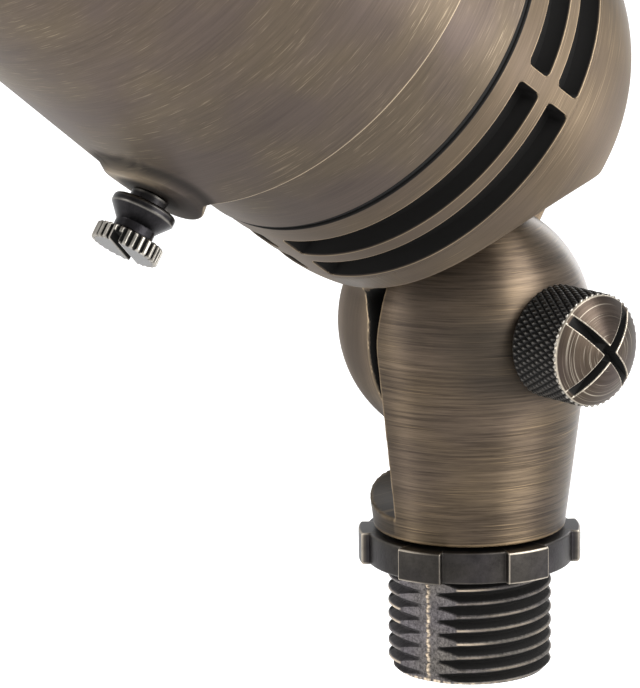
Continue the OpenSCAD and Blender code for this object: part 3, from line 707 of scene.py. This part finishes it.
def barrel_heights():
    """The barrel's heights: its ends, the lip in front and fine steps inwards from each slot's edges."""
    steps = np.array([-0.3, -0.15, -0.07, -0.03, 0.0, 0.03, 0.1, 0.25, 0.45, 0.65, 0.9, 1.2, 1.6])
    z = [BARREL_FROM, 26.0, 31.2, 37.5, 38.6, 39.2, 39.36, 39.46, HOUSING_FRONT]
    for middle in (REAR_ROW, FRONT_ROW):
        z.extend(middle - SLOT_W / 2 + steps)
        z.extend(middle + SLOT_W / 2 - steps)
    return np.unique(np.round(z, 3))


def build_barrel():
    """The housing's straight part: radius R less the slots' depth, with its hollow and its spigot."""
    a, z = barrel_angles(), barrel_heights()
    za, aa = np.meshgrid(z, a, indexing="ij")
    slot = slot_field(aa, za)
    lip_r = 0.15
    lip = np.clip((za - HOUSING_FRONT + lip_r) / lip_r, 0, 1)
    deep = np.interp(-slot, [-0.03, 0.0, 0.03], [0.0, 0.1 * SLOT_DEPTH, SLOT_DEPTH])
    outer = HOUSING_R - lip_r * (1 - np.sqrt(1 - lip ** 2)) - deep
    spigot_end, back = HOUSING_FRONT + SPIGOT_LEN, BARREL_FROM - 0.4
    before = spin([HOUSING_BORE, HOUSING_BORE - 0.01, 27.6], [spigot_end, back, back], a)
    after = spin([26.3, SPIGOT_R, SPIGOT_R], [HOUSING_FRONT, HOUSING_FRONT + 0.1, spigot_end], a)
    points = np.concatenate([before, spin(outer, za, a), after])
    # A thin rubbed line just outside each slot, black inside it and at the joint in front
    wear = np.where(deep < 0.2, 0.7 - np.abs(slot - 0.06) / 0.11, -1)
    dark = np.where(slot < 0.3, (deep - 0.1) / 0.2, -1)
    off = np.abs(np.degrees(aa) % 360 - 180)
    dark = np.maximum(dark, (za - (HOUSING_FRONT - BLACK_LIP)) / 0.05)
    # Painted shade along the underside
    dark = np.maximum(dark, painted_underside_shade(off, SHADE_BELOW))
    wear, dark = framed(wear, before, after, -1.0), framed(dark, before, after, 1.0)
    return make("housing_barrel", "head", ["rear_housing"], "axis", points, grid_faces(len(points), len(a)),
                None, wear, dark, 28.0)


def build_front_tube():
    """The front body: an outline of rounded corners turned about the head's axis, its rear lip black."""
    a = np.arange(256) * 2 * math.pi / 256
    socket_r, socket_end = SPIGOT_R + 0.05, BODY_BACK + SPIGOT_LEN
    black_to = BODY_BACK + 0.3
    pts, nrm, out = rounded([
        [socket_r, BODY_BACK, 0.2], [BODY_R, BODY_BACK, 0.15], [BODY_R, BODY_BACK + JOINT_LIP, 0],
        [BODY_R, GROOVE_BACK, 0.25], [GROOVE_R, GROOVE_BACK, 0.1], [GROOVE_R, GROOVE_FRONT, 0.1],
        [BODY_R, GROOVE_FRONT, 0.25], [BODY_R, BODY_FRONT, 0.4], [SEAT_R, BODY_FRONT, 0.3],
        [SEAT_R, SEAT_Z, 0.1], [LEDGE_R, SEAT_Z, 0.25], [LEDGE_R, LEDGE_Z, 0.25], [BODY_BORE, LEDGE_Z, 0.15],
        [BODY_BORE, socket_end, 0.15], [socket_r, socket_end, 0.05],
    ])
    z = pts[:, 1]
    off = np.abs(np.degrees(a) % 360 - 180)
    wear = np.repeat(0.35 * out, len(a))
    # Painted shade along the underside, besides the black rear lip
    below = np.tile(painted_underside_shade(off, SHADE_BELOW), len(z))
    dark = np.maximum(np.repeat((black_to - z) / 0.05, len(a)), below)
    return make("front_tube", "head", ["front_body"], "axis", spin(pts[:, 0], z, a),
                grid_faces(len(pts), len(a)), spin(nrm[:, 0], nrm[:, 1], a), wear, dark, 28.0)


def build_cowl():
    """The cowl: outer radius R - m (z - back), with a round boss at 6 o'clock that reaches radius 33.

    Round the disc the surface falls over 2.1 mm by 0.35 (3t^2 - 2t^3) + 0.65 t^2. The rear edge follows
    the back less a rounded tab under the boss, the mouth is cut by a slanted plane.
    """
    near_turn = 0.42
    off = np.concatenate([
        np.linspace(-near_turn, near_turn, 261), np.linspace(near_turn, 2 * math.pi - near_turn, 221)[1:-1],
    ])
    a = off + math.pi
    off = (off + math.pi) % (2 * math.pi) - math.pi
    near = np.abs(off) < 0.6
    across = COWL_R * np.sin(off)
    tab = np.where(near & (np.abs(across) < BOSS_R), np.sqrt(np.maximum(BOSS_R ** 2 - across ** 2, 0)), 0.0)
    rear = np.where(near, join(BOSS_AT - tab, COWL_BACK + 0 * across, TAB_ROUND), COWL_BACK)
    slant = (COWL_TOP_LEN - COWL_LOW_LEN) / (2 * COWL_R)
    mouth = COWL_BACK + (COWL_TOP_LEN - MOUTH_IN) + (MOUTH_R * np.cos(a) - COWL_R) * slant
    steps = np.concatenate([
        [0, 0.0006, 0.0014, 0.0026, 0.004, 0.006], np.linspace(0.009, 0.21, 66), np.linspace(0.21, 1, 34)[1:],
    ])
    z = rear[None, :] + (mouth - rear)[None, :] * steps[:, None]
    outer = COWL_R - np.maximum(z - COWL_BACK, 0) * COWL_SLOPE
    away = np.hypot(outer * np.sin(a)[None, :], z - BOSS_AT)
    bump = (BOSS_R + BOSS_OUT - np.maximum(away, BOSS_R - BOSS_IN)) / (BOSS_OUT + BOSS_IN)
    bump = np.clip(bump, 0, 1)
    outer = outer + (BOSS_FACE - outer) * (0.35 * smooth(bump) + 0.65 * bump ** 2) * near[None, :]
    lip = np.clip((z - rear[None, :]) / EDGE, 0, 1)
    outer = outer - EDGE * (1 - np.sqrt(np.clip(1 - (1 - lip) ** 2, 0, 1)))
    back_steps = np.concatenate([
        np.linspace(1, 0.5, 16), np.linspace(0.49, 0.43, 10), np.linspace(0.42, 0, 12),
    ])
    inner_z = rear[None, :] + (mouth - rear)[None, :] * back_steps[:, None]
    step = smooth((inner_z - COWL_STEP) / EDGE)
    tube = COWL_R - np.maximum(inner_z - COWL_BACK, 0) * COWL_SLOPE - COWL_WALL
    inner = COWL_BORE * (1 - step) + tube * step
    # Rubbed along the rear edge and at the mouth, and lighter in a crescent on the boss's front
    rim = 1.7 - np.abs(z - rear[None, :] - 0.1) / 0.11
    crescent = 0.42 * near[None, :] * bell((away - 5.5) / 1.1) * smooth((z - BOSS_AT - 1.5) / 4)
    wear = np.maximum(np.clip(rim, 0, 1), crescent)
    wear[-2:] = 0.8
    inner_wear = np.zeros(inner.shape)
    inner_wear[0] = 0.8
    # Painted shade with patina round the boss's foot, and painted shade on the disc under the screw, behind
    # it and along the underside
    foot = 0.8 * near[None, :] * bell((away - BOSS_R - 1.0) / 1.3)
    below = painted_underside_shade(np.abs(np.degrees(a) % 360 - 180), SHADE_BELOW)[None, :] * smooth((84 - z) / 24)
    face = 0.75 * near[None, :] * smooth((BOSS_R + 0.05 - away) / 0.2) * smooth((5.4 - away) / 2)
    tail = 0.62 * near[None, :] * smooth((BOSS_R + 1.2 - away) / 1.2) * smooth((BOSS_AT + 2.5 - z) / 3)
    dark = np.maximum(np.maximum(foot, below), np.maximum(face, tail))
    points = spin(np.concatenate([outer, inner]), np.concatenate([z, inner_z]), a)
    return make("cowl_tube", "cowl_shell", ["cowl"], "axis", points, grid_faces(len(points), len(a)), None,
                np.concatenate([wear, inner_wear]), np.concatenate([dark, np.full(inner.shape, 0.35)]), 32.0)


def build_knob_band():
    """The pivot thumbscrew's turned shank and a band with a diamond knurl.

    The knurl is r = R - 0.36 g(max(|w(a + k z)|, |w(a - k z)|)), w a triangle wave of 46 teeth.
    """
    turns = 460
    front = KNOB_BACK + KNOB_LEN
    a = np.arange(turns) * 2 * math.pi / turns
    z = lines((KNOB_BACK, KNOB_BACK + 0.6, 0.1), (KNOB_BACK + 0.6, front, 0.13))
    za, aa = np.meshgrid(z, a, indexing="ij")
    edge = smooth((za - KNOB_BACK) / 0.5)

    def wave(t):
        """A triangle wave from 1 to 0 and back, once for each tooth."""
        return np.abs((t * KNOB_TEETH / (2 * math.pi)) % 1.0 - 0.5) * 2

    lead = 0.62 / KNOB_R
    groove = np.maximum(wave(aa + za * lead), wave(aa - za * lead))
    groove = np.clip((groove - 0.42) / 0.58, 0, 1)
    r = KNOB_R - 0.45 * (1 - edge) ** 1.5 - 0.36 * groove * edge
    shank = spin([0.02, SHANK_R, SHANK_R, 3.05, 6.4], [-8.95, -8.95, 15.2, KNOB_BACK, KNOB_BACK], a)
    top = spin([6.9, 6.6, 0.02], [front, front - 0.3, front - 0.3], a)
    points = np.concatenate([shank, spin(r, za, a), top])
    last = smooth((za - front + 0.5) / 0.35) * (1 - groove) ** 0.5
    wear = framed(0.13 * (1 - groove) ** 2 * edge + 0.6 * last, shank, top, 0.0)
    dark = framed(smooth(groove / 0.8) * edge, shank, top, 0.0)
    return make("pivot_knob", "aiming_screw", ["pivot_thumbscrew"], "pivot", points,
                grid_faces(len(points), turns, closed=False), None, wear, dark, 7.0)


def build_knob_cap():
    """The thumbscrew's domed end, a slice of a ball with two crossed slots."""
    ball = (KNOB_R ** 2 + KNOB_DOME ** 2) / (2 * KNOB_DOME)
    tip = KNOB_BACK + KNOB_LEN + KNOB_DOME

    def cross_field(x, y):
        """Distance to the nearer slot's middle line, less half the slot's width."""
        u, v = (x + y) * math.sqrt(0.5), (x - y) * math.sqrt(0.5)
        return np.minimum(np.abs(u), np.abs(v)) - KNOB_SLOT_W / 2

    def cap_field(p):
        """The ball, held to a radius and a depth below its tip, less the slots."""
        x, y, h = p[:, 0], p[:, 1], p[:, 2]
        d = np.sqrt(x * x + y * y + (h - tip + ball) ** 2) - ball
        d = keep(d, np.hypot(x, y) - CAP_R, 0.12)
        d = keep(d, tip - CAP_DEPTH - h, 0.1)
        return keep(d, -np.maximum(cross_field(x, y), tip - KNOB_SLOT_DEPTH - h), 0.1)

    points, faces, normals = nets(cap_field, (
        lines((-7.4, 7.4, 0.16)), lines((-7.4, 7.4, 0.16)), lines((tip - 3.3, tip + 0.2, 0.16)),
    ))
    x, y, z = points.T
    r = np.hypot(x, y)
    cross = cross_field(x, y)
    deep = ball - np.sqrt(r ** 2 + (z - tip + ball) ** 2)
    # Rubbed along the slots and the rim, black in the slots
    wear = np.where(deep < 0.3, 1.1 - np.abs(cross - 0.03) / 0.12, -1)
    wear = np.maximum(wear, 0.5 * (r - 6.93) / 0.1)
    dark = np.where(cross < 0.3, (deep - 0.08) / 0.1, -2)
    rings = (np.column_stack([x, y, r]), np.column_stack([-y, x, 0 * r]))
    return make("pivot_knob_end", "aiming_screw", ["pivot_thumbscrew"], "pivot", points, faces, normals,
                np.clip(wear, -1, 1), np.clip(dark, -2, 1), 6.0, rings)


def build_cowl_screw():
    """The cowl's thumbscrew: thread, neck, collar with a cone to the waist, and a knurled, slotted head."""
    c, s = math.cos(math.radians(HEAD_SLOT_TURN)), math.sin(math.radians(HEAD_SLOT_TURN))

    def field(p):
        """Stacked cylinders and a cone; the head's radius is R less the grooves' depth times g(a)."""
        x, y, z = p[:, 0], p[:, 1], p[:, 2]
        r = np.hypot(x, y)
        stem = np.maximum(r - SCREW_R, within(z, SCREW_ENDS))
        neck = np.maximum(r - SCREW_NECK_R, within(z, SCREW_NECK_ENDS))
        cone = (r - np.interp(z, CONE_ENDS, (COLLAR_R, WAIST_R))) * 0.85
        cone = keep(cone, within(z, COLLAR_ENDS), 0.5)
        wave = np.abs((np.arctan2(y, x) * HEAD_GROOVES / (2 * math.pi)) % 1.0 - 0.5) * 2
        teeth = HEAD_GROOVE_DEPTH * smooth((wave - 0.3) / 0.5)
        head = keep(r - HEAD_R + teeth, within(z, HEAD_ENDS), EDGE)
        slot = np.maximum(np.abs(-x * s + y * c) - HEAD_SLOT_HALF, HEAD_SLOT_FROM - z)
        head = keep(head, -slot, 0.12)
        return np.minimum(np.minimum(stem, neck), join(cone, head, 0.5))

    points, faces, normals = nets(field, (
        lines((-4.8, 4.8, 0.14)), lines((-4.8, 4.8, 0.14)), lines((28.6, 34.2, 0.3), (34.2, 41.0, 0.14)),
    ))
    x, y, z = points.T
    wear = (0.3 + 0.42 * (z > 38.4)) * smooth((bend(field, points, 0.2) - 0.8) / 2.2)
    wear = np.maximum(wear, 0.07 * (z > 40.7))
    # Black in the knurl's grooves and in the slot
    grooves = np.minimum((4.27 - np.hypot(x, y)) / 0.12, np.minimum((z - 38.8) / 0.1, (40.55 - z) / 0.1))
    across = np.abs(-x * s + y * c)
    slot = np.minimum((0.62 - across) / 0.05, np.minimum((z - 39.4) / 0.1, (40.66 - z) / 0.06))
    return make("cowl_knob", "cowl_screw", ["cowl_thumbscrew"], "cowl_screw", points, faces, normals,
                wear, np.clip(np.maximum(grooves, slot), -2, 1), 4.0)


NAMED = {}


def shader(name, **values):
    """A Principled material with constant values on its own sockets."""
    mat = bpy.data.materials.new(name)
    mat.use_nodes = True
    bsdf = mat.node_tree.nodes["Principled BSDF"]
    for key, value in values.items():
        bsdf.inputs[key.replace("_", " ")].default_value = value
    NAMED[name] = mat
    return mat, mat.node_tree, bsdf


def link(tree, a, b):
    """Joins two sockets."""
    tree.links.new(a, b)


def node(tree, kind, **settings):
    """A new node with its settings."""
    made = tree.nodes.new(kind)
    for key, value in settings.items():
        setattr(made, key, value)
    return made


def fill(tree, socket, value):
    """Links a socket to an input, or writes a number or colour there."""
    if hasattr(value, "is_linked"):
        link(tree, value, socket)
    else:
        socket.default_value = value


def maths(tree, operation, a, b, clamp=False):
    """A maths node of two sockets or numbers."""
    made = node(tree, "ShaderNodeMath", operation=operation, use_clamp=clamp)
    fill(tree, made.inputs[0], a)
    fill(tree, made.inputs[1], b)
    return made.outputs[0]


def blend_colours(tree, share, a, b, blend_type="MIX"):
    """A mix of two colours or colour sockets."""
    made = node(tree, "ShaderNodeMix", data_type="RGBA", blend_type=blend_type)
    for i, value in ((0, share), (6, a), (7, b)):
        fill(tree, made.inputs[i], value)
    return made.outputs[2]


def streaks(tree, field, around, along, detail=2.0, rough=0.5):
    """Noise drawn out round the axis: around and along are cycles per millimetre."""
    scale = node(tree, "ShaderNodeVectorMath", operation="MULTIPLY")
    link(tree, field, scale.inputs[0])
    scale.inputs[1].default_value = (around, around, along)
    noise = node(tree, "ShaderNodeTexNoise")
    noise.inputs["Scale"].default_value = 1.0
    noise.inputs["Detail"].default_value = detail
    noise.inputs["Roughness"].default_value = rough
    link(tree, scale.outputs[0], noise.inputs["Vector"])
    return noise.outputs[0]


def between(tree, value, low, high):
    """0 at low, 1 at high, held beyond."""
    made = node(tree, "ShaderNodeMapRange")
    made.inputs["From Min"].default_value = low
    made.inputs["From Max"].default_value = high
    link(tree, value, made.inputs["Value"])
    return made.outputs[0]


def field_of(tree, name, kind="Fac"):
    """The socket of a mesh's field."""
    return node(tree, "ShaderNodeAttribute", attribute_name=name).outputs[kind]


def bronze(name, dark, mid, light, rough=0.46, aniso=0.85, spread=0.16, glint=0.6, shares=(0.42, 0.33, 0.25),
           bump=0.3, grit=0.0, stroke=0.09, tint=(0.90, 0.90, 1.06)):
    """Dark bronze coating over brass: brushed round the axis, rubbed to brass at edges, black in recesses and
    where shade is painted.

    The tone is a sum of three streaked noises, finest first, from dark to mid as it goes through 0.5 by
    plus or minus spread. Patches of it take the tint, and scratches between them the light colour, by
    glint. With grit, an even grain takes the place of the finest streaks and roughens the surface.
    """
    _, tree, bsdf = shader(name, Metallic=1.0, Roughness=rough, Anisotropic=aniso, Anisotropic_Rotation=0.25)
    dark, mid, light, tint = ((*colour, 1) for colour in (dark, mid, light, tint))
    cyl = field_of(tree, "cyl", "Vector")
    world = node(tree, "ShaderNodeVectorTransform", vector_type="VECTOR", convert_from="OBJECT",
                 convert_to="WORLD")
    link(tree, field_of(tree, "tang", "Vector"), world.inputs[0])
    link(tree, world.outputs[0], bsdf.inputs["Tangent"])
    wear = between(tree, field_of(tree, "wear"), 0.0, 1.0)
    # black follows the dark field: recesses, and painted shade
    black = between(tree, field_of(tree, "dark"), 0.0, 1.0)
    fine = streaks(tree, cyl, *((2.6, 2.6) if grit else (0.10, 3.6)), 4.0, 0.75)
    middle = streaks(tree, cyl, *((0.5, 0.5) if grit else (0.07, 1.1)), 3.0, 0.6)
    broad = streaks(tree, cyl, 0.035, 0.16)
    patch = streaks(tree, cyl, 0.07, 0.09)
    scratch = streaks(tree, cyl, stroke, 7.0, 1.0)

    def times(a, b, clamp=False):
        """a b."""
        return maths(tree, "MULTIPLY", a, b, clamp)

    def plus(a, b, clamp=False):
        """a + b."""
        return maths(tree, "ADD", a, b, clamp)

    def less(a, b):
        """a - b, held between 0 and 1."""
        return maths(tree, "SUBTRACT", a, b, True)

    tone = plus(plus(times(fine, shares[0]), times(middle, shares[1])), times(broad, shares[2]))
    colour = blend_colours(tree, between(tree, tone, 0.5 - spread, 0.5 + spread), dark, mid)
    colour = blend_colours(tree, between(tree, patch, 0.40, 0.62), colour, tint, "MULTIPLY")
    clump = times(between(tree, scratch, 0.62, 0.74), between(tree, patch, 0.62, 0.42))
    colour = blend_colours(tree, times(clump, glint), colour, light)
    rubbed = times(wear, plus(0.3, times(middle, 1.2)), True)
    colour = blend_colours(tree, rubbed, colour, light)
    colour = blend_colours(tree, black, colour, (0.011, 0.0105, 0.010, 1))
    link(tree, colour, bsdf.inputs["Base Color"])
    link(tree, less(1.0, times(black, 0.95)), bsdf.inputs["Metallic"])
    link(tree, less(0.5, times(black, 0.42)), bsdf.inputs["Specular IOR Level"])
    grade = plus(plus(rough - 0.08, times(tone, 0.16)), times(black, 0.45), True)
    link(tree, grade, bsdf.inputs["Roughness"])
    relief = node(tree, "ShaderNodeBump")
    relief.inputs["Strength"].default_value = bump
    relief.inputs["Distance"].default_value = 0.00006
    link(tree, plus(times(fine, 0.6 + grit), times(scratch, 0.4)), relief.inputs["Height"])
    link(tree, relief.outputs[0], bsdf.inputs["Normal"])


def build_bronzes():
    """The bronze coatings: brushed, cast and knurled pieces differ in tone, grain and wear."""
    turned = {"spread": 0.24, "shares": (0.50, 0.25, 0.25)}
    bronze("bronze_turned", (0.071, 0.055, 0.040), (0.146, 0.114, 0.081), (0.56, 0.45, 0.31),
           glint=0.24, stroke=0.3, **turned)
    bronze("bronze_housing", (0.072, 0.054, 0.038), (0.150, 0.113, 0.076), (0.56, 0.43, 0.28),
           glint=0.2, stroke=0.12, tint=(0.93, 0.94, 1.02), **turned)
    bronze("bronze_casting", (0.038, 0.029, 0.021), (0.142, 0.106, 0.071), (0.46, 0.33, 0.19),
           spread=0.13, glint=0.30, shares=(0.56, 0.14, 0.30), tint=(0.94, 0.95, 1.04))
    bronze("bronze_cap", (0.028, 0.021, 0.0155), (0.080, 0.061, 0.046), (0.74, 0.66, 0.54),
           rough=0.40, aniso=0.8, glint=0.3)
    grainy = {"aniso": 0.0, "glint": 0.0}
    bronze("bronze_thread", (0.034, 0.031, 0.028), (0.180, 0.164, 0.146), (0.68, 0.56, 0.42),
           rough=0.45, spread=0.12, shares=(0.7, 0.2, 0.1), bump=0.8, grit=1.4, **grainy)
    bronze("bronze_dark", (0.016, 0.0148, 0.0136), (0.046, 0.0415, 0.037), (0.56, 0.49, 0.40),
           rough=0.42, spread=0.2, shares=(0.3, 0.5, 0.2), bump=0.4, grit=0.6, **grainy)
    bronze("bronze_black", (0.008, 0.0078, 0.0075), (0.030, 0.028, 0.026), (0.46, 0.43, 0.38),
           rough=0.34, spread=0.2, shares=(0.4, 0.4, 0.2), bump=0.2, grit=0.3, **grainy)


def build_plain():
    """The plain materials of the inner pieces."""
    shader("bronze_plain", Base_Color=(0.12, 0.096, 0.076, 1), Roughness=0.4, Metallic=1.0)
    shader("black_rubber", Base_Color=(0.006, 0.006, 0.006, 1), Roughness=0.8, Specular_IOR_Level=0.2)
    shader("dark_steel", Base_Color=(0.03, 0.026, 0.022, 1), Roughness=0.45, Metallic=1.0)
    shader("bright_steel", Base_Color=(0.55, 0.55, 0.53, 1), Roughness=0.3, Metallic=1.0)
    shader("white_ceramic", Base_Color=(0.78, 0.74, 0.66, 1), Roughness=0.55)
    shader("mirror_coat", Base_Color=(0.75, 0.78, 0.82, 1), Roughness=0.12, Metallic=1.0)
    shader("clear_glass", Base_Color=(0.95, 0.98, 0.98, 1), Roughness=0.02, Transmission_Weight=1.0,
           IOR=1.46)


def paint(obj, mat):
    """Gives a piece one material."""
    obj.data.materials.clear()
    obj.data.materials.append(NAMED[mat])


def build_object():
    """Every shown piece of the spotlight: the new pieces, then the CAD's own nodes."""
    paint(build_knuckle(), "bronze_casting")
    paint(build_thread(), "bronze_thread")
    paint(build_nut(), "bronze_dark")
    paint(build_dome(), "bronze_housing")
    paint(build_barrel(), "bronze_housing")
    paint(build_cowl(), "bronze_turned")
    paint(build_knob_band(), "bronze_black")
    paint(build_knob_cap(), "bronze_cap")
    paint(build_cowl_screw(), "bronze_black")
    paint(build_front_tube(), "bronze_turned")
    for mat, names in (
        ("black_rubber", ("wire_grommet", "pivot_oring", "passage_sleeve", "housing_gasket", "lens_gasket",
                          "cowl_oring")),
        ("dark_steel", ("thumbscrew_washer",)),
        ("bright_steel", ("lampholder_bracket", "bracket_screws", "lamp_pins")),
        ("white_ceramic", ("lampholder", "lamp_base")),
        ("mirror_coat", ("lamp_reflector",)),
        ("clear_glass", ("lamp_capsule", "lamp_front_glass", "lens")),
    ):
        for name in names:
            paint(NODES[name], mat)
    paint(NODES["lens_ring"], "bronze_plain")


def looked_at(tree):
    """1 for what the camera sees, by itself, in metal or through glass."""
    path = node(tree, "ShaderNodeLightPath")
    rays = maths(tree, "MAXIMUM", path.outputs["Is Camera Ray"], path.outputs["Is Glossy Ray"])
    return maths(tree, "MAXIMUM", rays, path.outputs["Is Transmission Ray"])


def build_floor():
    """A plain pale floor that keeps the object's shadow and otherwise fades into the white behind it."""
    h, z = FLOOR_HALF, FLOOR_Z
    mesh = bpy.data.meshes.new("floor")
    mesh.from_pydata([(-h, -h, z), (h, -h, z), (h, h, z), (-h, h, z)], [], [(0, 1, 2, 3)])
    floor = bpy.data.objects.new("floor", mesh)
    bpy.context.scene.collection.objects.link(floor)
    mat, tree, bsdf = shader("floor_white", Base_Color=(0.85, 0.85, 0.85, 1), Roughness=0.9)
    mesh.materials.append(mat)
    shine, both = node(tree, "ShaderNodeEmission"), node(tree, "ShaderNodeAddShader")
    link(tree, maths(tree, "MULTIPLY", looked_at(tree), 0.4), shine.inputs["Strength"])
    link(tree, bsdf.outputs[0], both.inputs[0])
    link(tree, shine.outputs[0], both.inputs[1])
    link(tree, both.outputs[0], tree.nodes["Material Output"].inputs["Surface"])


def build_world():
    """Soft light from all sides, and white where the camera looks past the object."""
    world = bpy.data.worlds.new("studio")
    bpy.context.scene.world = world
    world.use_nodes = True
    tree = world.node_tree
    tree.nodes.clear()
    mix = node(tree, "ShaderNodeMixShader")
    link(tree, looked_at(tree), mix.inputs[0])
    for i, strength in ((1, 0.7), (2, 1.0)):
        ground = node(tree, "ShaderNodeBackground")
        ground.inputs["Color"].default_value = (1, 1, 1, 1)
        ground.inputs["Strength"].default_value = strength
        link(tree, ground.outputs[0], mix.inputs[i])
    link(tree, mix.outputs[0], node(tree, "ShaderNodeOutputWorld").inputs["Surface"])


def build_lamps():
    """White studio lamps that face the object."""
    for name, turn, rise, size, power in LAMPS:
        data = bpy.data.lights.new(name, "AREA")
        data.shape = "RECTANGLE"
        data.size, data.size_y = size
        data.energy = power
        light = bpy.data.objects.new(name, data)
        bpy.context.scene.collection.objects.link(light)
        a, e = math.radians(turn), math.radians(rise)
        to_light = Vector((math.cos(a) * math.cos(e), math.sin(a) * math.cos(e), math.sin(e)))
        light.location = to_light * LAMP_AWAY + Vector((0, 0, LAMP_AIM_Z))
        light.rotation_euler = to_light.to_track_quat("Z", "Y").to_euler()


def build_camera():
    """The photograph's camera."""
    a, e, roll = (math.radians(v) for v in (CAMERA_TURN, CAMERA_RISE, CAMERA_ROLL))
    back = Vector((math.sin(a) * math.cos(e), -math.cos(a) * math.cos(e), math.sin(e)))
    right = Vector((math.cos(a), math.sin(a), 0))
    up = back.cross(right)
    right, up = right * math.cos(roll) + up * math.sin(roll), up * math.cos(roll) - right * math.sin(roll)
    data = bpy.data.cameras.new("camera")
    data.lens = CAMERA_LENS
    data.sensor_width = 36.0
    data.clip_start = 0.05
    camera = bpy.data.objects.new("camera", data)
    turn = Matrix((right, up, back)).transposed().to_4x4()
    camera.matrix_world = Matrix.Translation(CAMERA_AT) @ turn
    bpy.context.scene.collection.objects.link(camera)
    bpy.context.scene.camera = camera


build_bronzes()
build_plain()
build_object()
build_floor()
build_world()
build_lamps()
build_camera()
bpy.context.scene.view_settings.view_transform = "Standard"
